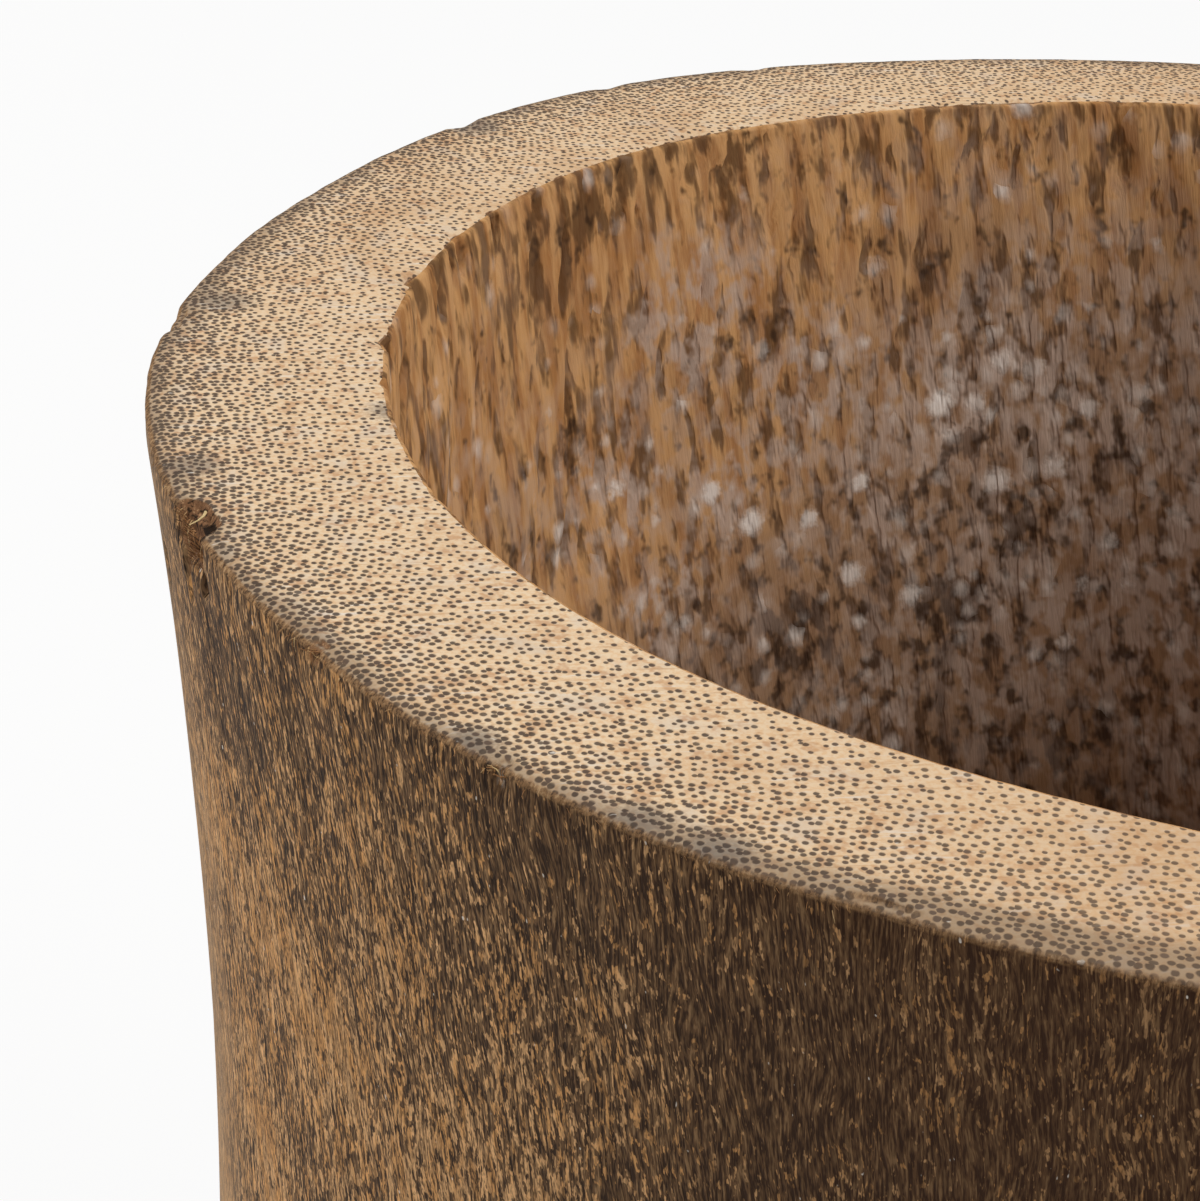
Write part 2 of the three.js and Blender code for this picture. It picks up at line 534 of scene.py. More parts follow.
@dataclass(frozen=True)
class PalmFibres:
    """The bundles of fibres in palm wood, as a pattern that runs through the whole trunk.

    Across the trunk the bundles are dots that crowd towards the bark. Cubing the place as a complex
    number shrinks the pattern with the square of the radius and keeps the dots round. Along the trunk
    they wind round the axis, so that they lean on the outside.
    """

    timber: Timber
    lean: float = FIBRE_LEAN
    unit_radius: float = 38.4  # millimetres at which a cubed place has a length of 1
    inner_bundle: float = 0.33  # millimetres, half the width of a bundle by the hollow
    outer_bundle: float = 0.38  # millimetres, the same by the bark
    crowded_reach: float = 13.0 * MM  # width of the outermost wood, where the bundles are thickest
    crowded_gain: float = 0.055  # millimetres that they are thicker by
    stagger: float = math.radians(30.0)  # from one row to the next
    disorder: float = 0.66
    wandering: Pattern = even(1.0 / 12.0, 1.0)
    wander: float = 1.4  # millimetres for a shift of 1, so a bundle strays about 0.35 from its line
    wander_start: float = 0.5  # millimetres below the rim
    wander_full: float = 9.0

    def wound(self, graph: Graph, place: Socket) -> Socket:
        """Turn each level back by the lean of the fibres, so that a fibre is a straight upright line.

        Args:
            graph: Material to add nodes to.
            place: Place in millimetres.

        Returns:
            The place, turned about Z.
        """
        _, _, z = graph.split(place)
        turn = (z - self.timber.height / MM) * (math.tan(self.lean) * MM / self.timber.rim_radius)
        return graph.turned(place, turn)

    def strayed(self, graph: Graph, wound: Socket, drop: Level) -> Socket:
        """Let the bundles stray below the rim, by a smooth field of small shifts."""
        amount = graph.step(drop, self.wander_start, self.wander_full, 0.0, self.wander)
        return graph.vector("ADD", wound, graph.scaled(graph.shifts(self.wandering, wound), amount))

    def squared(self, radius: float) -> float:
        """Square of a radius, in units of the pattern."""
        return (radius / MM / self.unit_radius) ** 2

    def thickness(self, graph: Graph, square_radius: Level) -> Level:
        """Half the width of the bundles in millimetres, which grows towards the bark.

        Args:
            graph: Material to add nodes to.
            square_radius: Square of the radius, in units of the pattern.

        Returns:
            The half width.
        """
        outer = self.squared(self.timber.rim_radius)
        inner = self.squared(self.timber.rim_radius - self.timber.rim_wall)
        crowded = self.squared(self.timber.rim_radius - self.crowded_reach)
        size = graph.step(square_radius, inner, outer, self.inner_bundle, self.outer_bundle)
        return size + graph.step(square_radius, crowded, outer, 0.0, self.crowded_gain)

    def cells(self, graph: Graph, place: Socket) -> tuple[Level, Level, Level]:
        """Lay the bundles out in staggered, uneven rows.

        Args:
            graph: Material to add nodes to.
            place: Place in millimetres, with the fibres upright.

        Returns:
            How much a bundle is there, from 0 to 1, how much its pale vessel is there, and a random
            number for each bundle.
        """
        x, y, _ = graph.split(graph.scaled(place, 1.0 / self.unit_radius))
        xx = x * x
        yy = y * y
        u = x * (xx - yy * 3.0)
        v = y * (xx * 3.0 - yy)
        aslant = u - v * math.tan(self.stagger)
        square = graph.joined(aslant, v / math.cos(self.stagger))
        inputs = {"Vector": square, "Scale": 1.0, "Randomness": self.disorder}
        voronoi = graph.node("TexVoronoi", inputs, voronoi_dimensions="2D")
        chance = graph.split(voronoi.outputs["Color"])
        right, up, _ = graph.split(graph.vector("SUBTRACT", square, voronoi.outputs["Position"]))
        back = right + up * math.sin(self.stagger)
        away = graph.joined(back, up * math.cos(self.stagger))

        square_radius = xx + yy
        crowding = square_radius * (3.0 / self.unit_radius)
        radius = self.thickness(graph, square_radius) * crowding * graph.blend(chance[0], 0.8, 1.16)
        share = graph.measure("LENGTH", away) / radius
        outward = graph.vector("NORMALIZE", graph.joined(u, v))
        side = graph.measure("DOT_PRODUCT", away, outward) / radius
        bitten = graph.blend(chance[1] * 0.6, 1.0, graph.step(side, -0.9, -0.35))
        bundle = graph.step(share, 0.7, 1.16, 1.0, 0.0) * bitten
        vessel = graph.step(share, 0.8, 1.6, 1.0, 0.0) * graph.step(side, -0.3, -0.8)
        return bundle, vessel, chance[2]


@dataclass(frozen=True)
class Smudge:
    """A grey touch of dirt on the rim: angle in degrees about the axis, radius and reach in millimetres."""

    angle: float
    radius: float
    reach: float

    def spot(self, timber: Timber) -> Vector:
        """Middle of the smudge in millimetres from the foot of the trunk's axis."""
        return polar(math.radians(self.angle), self.radius, timber.height / MM)


@dataclass(frozen=True)
class EndGrainFinish:
    """Sawn end grain: a cream net of soft tissue between dark dots."""

    timber: Timber
    soft_tissue: Pattern = even(1.7, rough=0.6)
    blotches: Pattern = even(0.07, 3.0, 0.6, 31.0)
    saw_streaks: Pattern = Pattern((0.1, 1.1, 1.0), 3.0, 0.65, 7.0)
    fading: Pattern = even(0.2, seed=67.0)
    rusting: Pattern = even(0.55, rough=0.6, seed=13.0)
    specks: Pattern = Pattern((0.5, 1.1, 1.0), rough=0.6, seed=53.0)
    cream: Colour = tone(254, 228, 193)
    peach: Colour = tone(248, 211, 168)
    tan: Colour = tone(208, 162, 117)
    rust: Colour = tone(202, 148, 104)
    dusk: Colour = tone(148, 126, 104)
    slate: Colour = tone(122, 118, 114)
    ash: Colour = tone(232, 222, 208)
    dot: Colour = tone(74, 62, 56)
    pale_dot: Colour = tone(110, 92, 80)
    vessel: Colour = tone(190, 154, 118)
    fleck: Colour = tone(252, 246, 236)
    saw_angle: float = math.radians(24.0)
    smudges: tuple[Smudge, ...] = (
        Smudge(-170.4, 135.6, 4.0),
        Smudge(155.8, 137.8, 4.5),
        Smudge(-155.3, 113.5, 3.0),
        Smudge(-149.5, 137.5, 3.5),
        Smudge(-121.0, 137.0, 3.0),
        Smudge(-112.5, 136.6, 3.6),
        Smudge(-109.0, 136.2, 4.0),
    )

    def colour(self, graph: Graph, place: Socket, cells: tuple[Level, Level, Level]) -> Socket:
        """Colour the end grain: soft tissue, the saw's streaks, dirt, and the bundles over them.

        Args:
            graph: Material to add nodes to.
            place: Place in millimetres.
            cells: Bundle, vessel and chance from PalmFibres.

        Returns:
            The colour.
        """
        bundle, vessel, chance = cells
        x, y, _ = graph.split(place)
        sawn = graph.turned(place, -self.saw_angle)
        fine = graph.noise(self.soft_tissue, place)
        blotch = graph.noise(self.blotches, place)
        streak = graph.noise(self.saw_streaks, sawn)
        ground = graph.washes(
            self.peach,
            (self.cream, fine, 0.34, 0.62),
            (self.tan, blotch, 0.46, 0.76, 0.4),
            (self.tan, streak, 0.53, 0.72, 0.62),
            (self.fleck, streak, 0.42, 0.28, 0.7),
            (self.ash, graph.noise(self.fading, place), 0.54, 0.7, 0.42),
            (self.rust, graph.noise(self.rusting, place), 0.53, 0.68, 0.55),
            (self.tan, x, -75.0, 15.0, 0.42),
            (self.tan, y, -70.0, 30.0, 0.14),
        )

        ragged = (blotch - 0.5) * 9.0
        east = graph.step(x, -60.0, 10.0, 0.0, -5.0)
        reach = graph.attribute("edge") + (ragged + east)
        ground = graph.mix(graph.step(reach, -0.6, 4.2, 0.66, 0.0), ground, self.dusk)
        scuffed = (fine - 0.5) * 4.0
        for smudge in self.smudges:
            share = graph.near(place, smudge.spot(self.timber), smudge.reach, scuffed)
            ground = graph.mix(share * 0.6, ground, self.slate)

        ground = graph.mix(vessel * 0.3, ground, self.vessel)
        strength = bundle * graph.blend(chance, 0.82, 1.0)
        strength *= graph.step(x, -60.0, 50.0, 1.0, 0.72)
        dotted = graph.mix(strength, ground, graph.wash(self.dot, self.pale_dot, chance, 0.4, 1.0))
        return graph.wash(dotted, self.fleck, graph.noise(self.specks, sawn), 0.7, 0.78, 0.7)


@dataclass(frozen=True)
class Mark:
    """A gap between the fibres of the outside, painted black as shade, or a pale scuff: angle in degrees,
    lengths in millimetres.
    """

    angle: float
    drop: float
    half_width: float
    half_length: float

    def spot(self, timber: Timber) -> Vector:
        """Middle of the mark on the plain cylinder that the fibres stand upright on.

        Args:
            timber: Measures of the trunk.

        Returns:
            The middle, in millimetres.
        """
        radius = timber.rim_radius / MM
        turn = math.radians(self.angle) - self.drop * math.tan(FIBRE_LEAN) / radius
        return polar(turn, radius, timber.height / MM - self.drop)

    def share(self, graph: Graph, timber: Timber, wall: Socket, ragged: Level) -> Level:
        """How much of the mark is at a place, from 0 to 1, with a ragged outline.

        Args:
            graph: Material to add nodes to.
            timber: Measures of the trunk.
            wall: Place on that cylinder, in millimetres.
            ragged: How far the outline is off its place.

        Returns:
            The share.
        """
        away = graph.vector("SUBTRACT", wall, tuple(self.spot(timber)))
        away = graph.vector("DIVIDE", away, (self.half_width, self.half_width, self.half_length))
        return graph.step(graph.measure("LENGTH", away) + ragged, 0.7, 1.2, 1.0, 0.0)


@dataclass(frozen=True)
class BarkSideFinish:
    """The outside of the wall: fine dark fibres with tan flecks where the soft tissue shows."""

    timber: Timber
    bend: float = 2.2  # millimetres that a line is off its place for a shift of 1
    bending: Pattern = drawn(0.22, 0.06, 1.0)
    fine_lines: Pattern = drawn(3.3, 0.36, rough=0.66)
    coarse_lines: Pattern = drawn(1.0, 0.12, seed=29.0)
    clouds: Pattern = drawn(0.055, 0.035, seed=11.0)
    tongues: Pattern = drawn(1.8, 0.56, rough=0.66, seed=23.0)
    grit: Pattern = drawn(3.4, 1.7, 1.0, seed=97.0)
    hues: Pattern = drawn(0.5, 0.12, seed=37.0)
    grooves: Pattern = drawn(2.3, 0.26, rough=0.64, seed=41.0)
    specks: Pattern = drawn(1.6, 0.8, 1.0, seed=61.0)
    combing: Pattern = drawn(2.4, 1.1, 3.0, 0.7, 91.0)
    matting: Pattern = even(1.7, 3.0, 0.7, 89.0)
    broad_wear: Pattern = drawn(0.3, 0.2, rough=0.6, seed=95.0)
    fraying: Pattern = drawn(1.9, 0.8, 3.0, 0.7, 57.0)
    umber: Colour = tone(60, 43, 30)
    brown: Colour = tone(112, 84, 58)
    line: Colour = tone(164, 130, 92)
    streak: Colour = tone(244, 192, 136)
    amber: Colour = tone(234, 174, 110)
    # painted sheen: a paler colour at the left edge of the outside, where the wall is seen at a grazing
    # angle
    bare: Colour = tone(176, 148, 118)
    # grime in the grooves, and painted shade: the near black in cracks, holes and between torn fibres
    grime_and_shade: Colour = tone(38, 27, 20)
    # painted shade: dark brown laid over the right side of the outside
    dusk: Colour = tone(64, 34, 14)
    fleck: Colour = tone(240, 232, 220)
    torn: Colour = tone(142, 102, 72)
    torn_light: Colour = tone(206, 164, 120)
    worn_dark: Colour = tone(88, 66, 48)
    worn: Colour = tone(158, 121, 84)
    worn_light: Colour = tone(208, 170, 126)
    # cracks: gaps between the fibres, painted black as shade
    cracks: tuple[Mark, ...] = (
        Mark(-142.5, 1.8, 1.15, 2.1),
        Mark(-143.7, 1.3, 0.9, 0.6),
        Mark(-143.3, 3.1, 0.6, 0.5),
        Mark(-145.0, 3.3, 0.45, 2.3),
        Mark(-145.2, 6.5, 2.5, 0.45),
        Mark(-145.8, 5.6, 0.5, 1.0),
        Mark(-141.6, 6.7, 0.5, 1.8),
        Mark(-151.8, 14.0, 1.2, 1.7),
    )
    scuffs: tuple[Mark, ...] = (
        Mark(-118.9, 4.6, 0.6, 4.2),
        Mark(-116.0, 11.5, 0.5, 0.9),
        Mark(-119.0, 21.7, 0.3, 0.6),
    )

    def colour(self, graph: Graph, wall: Socket, drop: Level, bundle: Level) -> tuple[Socket, Level]:
        """Colour the outside: lines of fibres, tan tongues over them, dark grooves and specks, with painted
        light on the left and painted shade on the right.

        Args:
            graph: Material to add nodes to.
            wall: Place on a plain cylinder in millimetres, with the fibres upright.
            drop: Depth below the rim in millimetres.
            bundle: How much a bundle is there.

        Returns:
            The colour and the fine lines, from 0 in a groove to 1 on a ridge.
        """
        shift = graph.vector("MULTIPLY", graph.shifts(self.bending, wall), (self.bend, self.bend, 0.0))
        bent = graph.vector("ADD", wall, shift)
        fine = graph.noise(self.fine_lines, bent)
        lines = fine + (graph.noise(self.coarse_lines, bent) - 0.5) * 0.25
        base = graph.washes(
            self.umber,
            (self.brown, lines, 0.41, 0.53),
            (self.line, lines, 0.55, 0.64, 0.75),
        )

        east = graph.split(wall)[0]
        # painted light and shade: more tan streaks on the left, fewer on the right
        side = graph.step(east, -100.0, -10.0, 0.05, -0.055)
        low = graph.step(drop, 4.0, 60.0, -0.026, 0.042)
        level = (graph.noise(self.clouds, wall) - 0.5) * 0.38 + (side + low)
        tongue = graph.noise(self.tongues, bent) + level
        light = graph.step(tongue, 0.54, 0.59) * graph.blend(1.0 - bundle, 0.7, 1.0)
        light *= graph.step(fine, 0.38, 0.5, 0.35, 1.0)
        light *= graph.step(graph.noise(self.grit, wall), 0.32, 0.56, 0.55, 1.0)
        tan = graph.wash(self.streak, self.amber, graph.noise(self.hues, wall), 0.4, 0.6)
        base = graph.mix(light * 0.92, base, tan)

        deep = graph.noise(self.grooves, bent) - level * 0.5
        sunk = graph.step(east, -110.0, -40.0, 0.95, 0.4)
        base = graph.washes(
            graph.mix(graph.step(deep, 0.53, 0.62) * sunk, base, self.grime_and_shade),
            # painted shade on the right side
            (self.dusk, east, -75.0, -5.0, 0.5),
            # painted sheen along the left edge
            (self.bare, east, -116.0, -130.0, 0.45),
            (self.fleck, graph.noise(self.specks, wall), 0.77, 0.82, 0.8),
        )
        return base, fine

    def arris(self, graph: Graph, place: Socket, wall: Socket, colour: Socket) -> tuple[Socket, Level]:
        """Lay the worn band of the arris over a colour: short fibres, bright and dark.

        Args:
            graph: Material to add nodes to.
            place: Place in millimetres.
            wall: Place on a plain cylinder in millimetres, with the fibres upright.
            colour: Colour of the wood on both sides of the arris.

        Returns:
            The colour and how much of the band is there.
        """
        matted = graph.noise(self.matting, place)
        strokes = graph.blend(0.55, graph.noise(self.combing, wall), matted)
        band = graph.washes(
            self.worn_dark,
            (self.worn, strokes, 0.43, 0.51),
            (self.worn_light, strokes, 0.52, 0.6, 0.8),
        )
        uneven = (graph.blend(0.5, graph.noise(self.broad_wear, wall), matted) - 0.46) * 14.0
        reach = graph.attribute("edge") + uneven
        up = graph.facing_up()
        turned = graph.step(up, 0.08, 0.42) * graph.step(up, 0.97, 0.8)
        share = turned * graph.step(reach, 0.8, 2.8, 1.0, 0.0)
        share *= graph.step(graph.split(wall)[0], -110.0, 0.0, 0.92, 0.4)
        return graph.mix(share, colour, band), share

    def broken(self, graph: Graph, place: Socket, wall: Socket, colour: Socket) -> Socket:
        """Show torn fibres where wood has broken out, gaps between the fibres painted black as shade, and
        scuffs.

        Args:
            graph: Material to add nodes to.
            place: Place in millimetres.
            wall: Place on a plain cylinder in millimetres, with the fibres upright.
            colour: Colour of the sound wood.

        Returns:
            The colour with all of them.
        """
        torn = graph.noise(self.fraying, place)
        ragged = torn - 0.5
        # torn fibres over a near-black ground, which is painted shade between them
        fibres = graph.washes(
            self.grime_and_shade,
            (self.torn, torn, 0.38, 0.5),
            (self.torn_light, torn, 0.56, 0.68, 0.8),
        )
        cavity = graph.attribute("cavity") + ragged * 0.5
        colour = graph.wash(colour, fibres, cavity, 0.16, 0.4, 0.92)
        off_rim = graph.step(graph.attribute("edge"), 0.3, 2.0, 0.95, 0.0)
        uneven = ragged * 1.6
        worn = graph.step(torn, 0.4, 0.6) * 0.6
        for scuff in self.scuffs:
            share = scuff.share(graph, self.timber, wall, uneven) * off_rim
            colour = graph.mix(share * worn, colour, self.fleck)
        # painted shade: the deepest breaks and the cracks are painted near black
        hole = graph.step(cavity, 0.72, 0.95)
        for crack in self.cracks:
            hole = graph.math("MAXIMUM", hole, crack.share(graph, self.timber, wall, uneven))
        return graph.mix(hole * off_rim, colour, self.grime_and_shade)


@dataclass(frozen=True)
class Patch:
    """A patch of the hollow's wall, with dried salts or torn fibres.

    The angle is in degrees about the axis, the height and reach in millimetres. The strength goes
    from 0 to 1.
    """

    angle: float
    height: float
    reach: float
    strength: float

    def spot(self, timber: Timber) -> Vector:
        """Middle of the patch in millimetres from the foot of the trunk's axis."""
        return polar(math.radians(self.angle), timber.hollow_mean(self.height * MM) / MM, self.height)


@dataclass(frozen=True)
class HollowFinish:
    """The torn inside of the wall: warm brown, dark flecks, painted shade to the right, and the pale salts
    that damp soil left.
    """

    timber: Timber
    salt_edge: Pattern = even(0.16, 3.0, 0.6, 71.0)
    salt_field: Pattern = drawn(0.045, 0.04, rough=0.6, seed=77.0)
    salt_film: Pattern = drawn(0.34, 0.22, rough=0.55, seed=73.0)
    grain_edge: Pattern = drawn(0.7, 0.6, rough=0.6, seed=83.0)
    fibres: Pattern = drawn(1.3, 0.1, 3.0, 0.6)
    broad_fibres: Pattern = drawn(0.3, 0.06, seed=3.0)
    wet_line: Pattern = drawn(0.035, 0.03, 3.0, 0.6, 5.0)
    clusters: Pattern = drawn(0.06, 0.05, 1.0, seed=19.0)
    flecks: Pattern = drawn(0.44, 0.115, rough=0.55, seed=17.0)
    frays: Pattern = even(0.3, rough=0.6, seed=43.0)
    mottling: Pattern = drawn(0.34, 0.24, rough=0.6, seed=47.0)
    honey: Colour = tone(227, 175, 118)
    russet: Colour = tone(188, 134, 83)
    umber: Colour = tone(72, 47, 30)
    damp: Colour = tone(160, 127, 100)
    peat: Colour = tone(58, 39, 27)
    haze: Colour = tone(208, 184, 168)
    salt: Colour = tone(252, 242, 234)
    lean: float = math.radians(10.0)
    salt_height: float = 212.0  # millimetres
    salt_core: float = 12.0  # millimetres from there over which the salts are strongest
    salt_reach: float = 95.0  # millimetres from there to where they have almost gone
    grain_lumps: Triple = (0.26, 0.26, 0.22)  # grains of crust to a millimetre
    patches: tuple[Patch, ...] = (
        Patch(153.5, 236.0, 13.0, 0.8),
        Patch(147.0, 213.0, 12.0, 0.9),
        Patch(141.0, 233.0, 12.0, 0.7),
        Patch(145.0, 262.0, 17.0, 0.1),
        Patch(133.0, 248.0, 15.0, 0.4),
        Patch(121.5, 241.0, 13.0, 1.0),
        Patch(115.0, 247.0, 12.0, 1.0),
        Patch(108.0, 237.0, 13.0, 1.0),
        Patch(124.0, 225.0, 13.0, 0.7),
        Patch(100.0, 228.0, 14.0, 0.8),
        Patch(111.0, 214.0, 12.0, 0.6),
        Patch(102.0, 204.0, 15.0, 0.7),
        Patch(93.0, 190.0, 18.0, 0.7),
        Patch(113.0, 190.0, 10.0, 0.4),
    )
    blooms: tuple[Patch, ...] = (
        Patch(121.4, 240.5, 2.6, 1.0),
        Patch(118.2, 240.1, 2.0, 0.7),
        Patch(116.3, 247.4, 2.2, 0.7),
        Patch(113.4, 245.8, 2.0, 0.6),
        Patch(115.5, 226.2, 2.6, 0.9),
        Patch(110.6, 228.5, 2.3, 0.75),
        Patch(108.2, 238.8, 2.0, 0.7),
        Patch(104.1, 241.7, 2.2, 0.5),
        Patch(133.0, 223.2, 2.0, 0.8),
        Patch(128.2, 228.2, 1.8, 0.85),
        Patch(128.4, 211.9, 2.2, 0.8),
        Patch(122.7, 206.9, 2.2, 0.75),
        Patch(107.7, 196.6, 2.0, 0.8),
        Patch(106.8, 206.9, 1.8, 0.7),
        Patch(103.0, 207.3, 2.0, 0.7),
        Patch(105.0, 214.9, 2.0, 0.65),
        Patch(99.5, 220.8, 2.2, 0.6),
        Patch(153.1, 237.4, 2.1, 1.0),
        Patch(143.1, 232.0, 2.0, 0.85),
        Patch(138.9, 224.9, 2.4, 0.9),
        Patch(138.8, 254.0, 1.8, 0.35),
        Patch(128.3, 264.6, 1.8, 0.35),
    )
    torn: tuple[Patch, ...] = (
        Patch(157.3, 283.0, 6.5, 1.0),
        Patch(154.0, 287.5, 4.5, 1.0),
        Patch(164.9, 282.0, 5.0, 0.7),
        Patch(141.0, 286.1, 4.0, 0.8),
        Patch(134.4, 284.3, 4.0, 0.8),
        Patch(139.5, 257.0, 6.5, 0.9),
        Patch(158.1, 249.2, 5.0, 0.8),
        Patch(119.0, 233.0, 4.0, 1.0),
        Patch(112.8, 218.0, 7.0, 0.9),
        Patch(119.0, 204.0, 8.0, 1.0),
        Patch(146.1, 213.0, 5.0, 0.8),
        Patch(133.0, 203.0, 9.0, 0.7),
    )

    def patched(self, graph: Graph, place: Socket, patches: Sequence[Patch], ragged: Level,
                under: Value) -> Level:
        """Raise a level to the strength of each patch where the patch is.

        Args:
            graph: Material to add nodes to.
            place: Place in millimetres.
            patches: The patches.
            ragged: Millimetres that their outlines are uneven by.
            under: Level before any patch.

        Returns:
            The raised level.
        """
        for patch in patches:
            share = graph.near(place, patch.spot(self.timber), patch.reach, ragged)
            under = graph.math("MAXIMUM", under, share * patch.strength)
        return under

    def salts(self, graph: Graph, place: Socket, wound: Socket) -> tuple[Level, Level]:
        """Lay out the dried salts.

        Args:
            graph: Material to add nodes to.
            place: Place in millimetres.
            wound: The same with the fibres upright.

        Returns:
            How much haze is there, and how much white crust.
        """
        x, _, z = graph.split(place)
        rough = graph.noise(self.salt_edge, place)
        ragged = (rough - 0.5) * 26.0
        band = graph.step(abs(z - self.salt_height), self.salt_core, self.salt_reach, 1.0, 0.1)
        east = graph.step(x, -98.0, -45.0, 0.6, 1.5)
        haze = band * graph.step(graph.noise(self.salt_field, place), 0.38, 0.6, 0.25, 0.8) * east
        crust = haze * 0.75
        for patch in self.patches:
            share = graph.near(place, patch.spot(self.timber), patch.reach, ragged)
            haze = graph.math("MAXIMUM", haze, share)
            crust = graph.math("MAXIMUM", crust, share * patch.strength)
        haze *= graph.step(graph.noise(self.salt_film, wound), 0.4, 0.6, 0.06, 0.8)

        shifted = graph.scaled(graph.joined(rough, rough, rough), 0.6)
        grains = graph.vector("ADD", graph.vector("MULTIPLY", wound, self.grain_lumps), shifted)
        cells = graph.node("TexVoronoi", {"Vector": grains, "Scale": 1.0, "Randomness": 1.0})
        chance = graph.split(cells.outputs["Color"])
        uneven = graph.noise(self.grain_edge, wound) - 0.5
        away = Level(graph, cells.outputs["Distance"]) + uneven * 0.35
        size = graph.blend(chance[1], 0.32, 0.66)
        grain = graph.step(away, -0.05, size, 1.0, 0.0)
        grown = graph.step(crust - chance[0], -0.26, 0.16)
        grain *= grown * graph.blend(chance[2], 0.3, 0.8)
        return haze, self.patched(graph, place, self.blooms, uneven * 2.6, grain)

    def material(self) -> bpy.types.Material:
        """Dress the hollow: fibres, damp and painted shade, torn flecks, mottling, and the salts over them.

        Returns:
            The material.
        """
        graph = Graph("palm_hollow")
        place = graph.millimetres(self.timber.axis)
        x, _, z = graph.split(place)
        drop = self.timber.height / MM - z
        turn = math.tan(self.lean) * MM / (self.timber.rim_radius - self.timber.rim_wall)
        wound = graph.turned(place, drop * turn)
        fibre = graph.noise(self.fibres, wound)
        tint = graph.blend(0.65, fibre, graph.noise(self.broad_fibres, wound))
        # painted shade: the right side of the hollow counts as deeper, so the damp tones and the darker
        # brown reach higher there
        east = graph.step(x, -98.0, -35.0, -14.0, 24.0)
        damp_and_shade = drop + east + (graph.noise(self.wet_line, place) - 0.5) * 90.0

        frayed = (graph.noise(self.frays, place) - 0.5) * 12.0
        torn = self.patched(graph, place, self.torn, frayed, 0.0)
        fleck = graph.noise(self.flecks, wound) + (graph.noise(self.clusters, wound) - 0.5) * 0.26
        # painted shade: more dark flecks in the lip's tears and pits
        fleck += graph.attribute("cavity") * 0.14
        fleck += torn * 0.13
        soaked = graph.step(damp_and_shade, 26.0, 84.0, 0.0, 0.12) + torn * 0.1
        mottle = graph.noise(self.mottling, wound) + soaked
        colour = graph.washes(
            self.russet,
            (self.honey, tint, 0.38, 0.6),
            (self.damp, damp_and_shade, 24.0, 70.0, 0.8),
            (self.umber, fleck, 0.47, 0.69, 0.74),
            (self.peat, mottle, 0.58, 0.77, 0.82),
            (self.peat, damp_and_shade, 90.0, 190.0, 0.18),
        )

        haze, grain = self.salts(graph, place, wound)
        haze *= graph.step(torn, 0.2, 0.9, 1.0, 0.35)
        colour = graph.mix(haze, colour, self.haze)
        colour = graph.mix(grain, colour, self.salt)
        relief = fibre * 0.28 + grain * 0.2 - graph.step(fleck, 0.5, 0.66) * 0.3
        return graph.finish(colour, 0.88, relief, 0.7, 0.1)


@dataclass(frozen=True)
class OuterFinish:
    """The palm wood of the rim, the outside and the foot: end grain where it faces up or down."""

    timber: Timber

    def material(self) -> bpy.types.Material:
        """Dress everything but the hollow.

        Returns:
            The material.
        """
        graph = Graph("palm_outside")
        fibres = PalmFibres(self.timber)
        place = graph.millimetres(self.timber.axis)
        drop = self.timber.height / MM - graph.split(place)[2]
        wound = fibres.wound(graph, place)
        strayed = fibres.strayed(graph, wound, drop)
        cells = fibres.cells(graph, strayed)
        flat = graph.vector("NORMALIZE", graph.vector("MULTIPLY", strayed, (1.0, 1.0, 0.0)))
        around = graph.scaled(flat, self.timber.rim_radius / MM)
        wall = graph.vector("ADD", around, graph.vector("MULTIPLY", strayed, (0.0, 0.0, 1.0)))
        end = graph.step(graph.facing_up(), 0.50, 0.93)
        side = BarkSideFinish(self.timber)
        colour, fine = side.colour(graph, wall, drop, cells[0])
        colour = graph.mix(end, colour, EndGrainFinish(self.timber).colour(graph, place, cells))
        colour, band = side.arris(graph, place, wall, colour)
        colour = side.broken(graph, place, wall, colour)
        relief = graph.blend(end, fine * graph.blend(band, 0.3, 0.06), cells[0] * 0.06)
        return graph.finish(colour, graph.blend(end, 0.68, 0.82), relief, 0.8, 0.1)


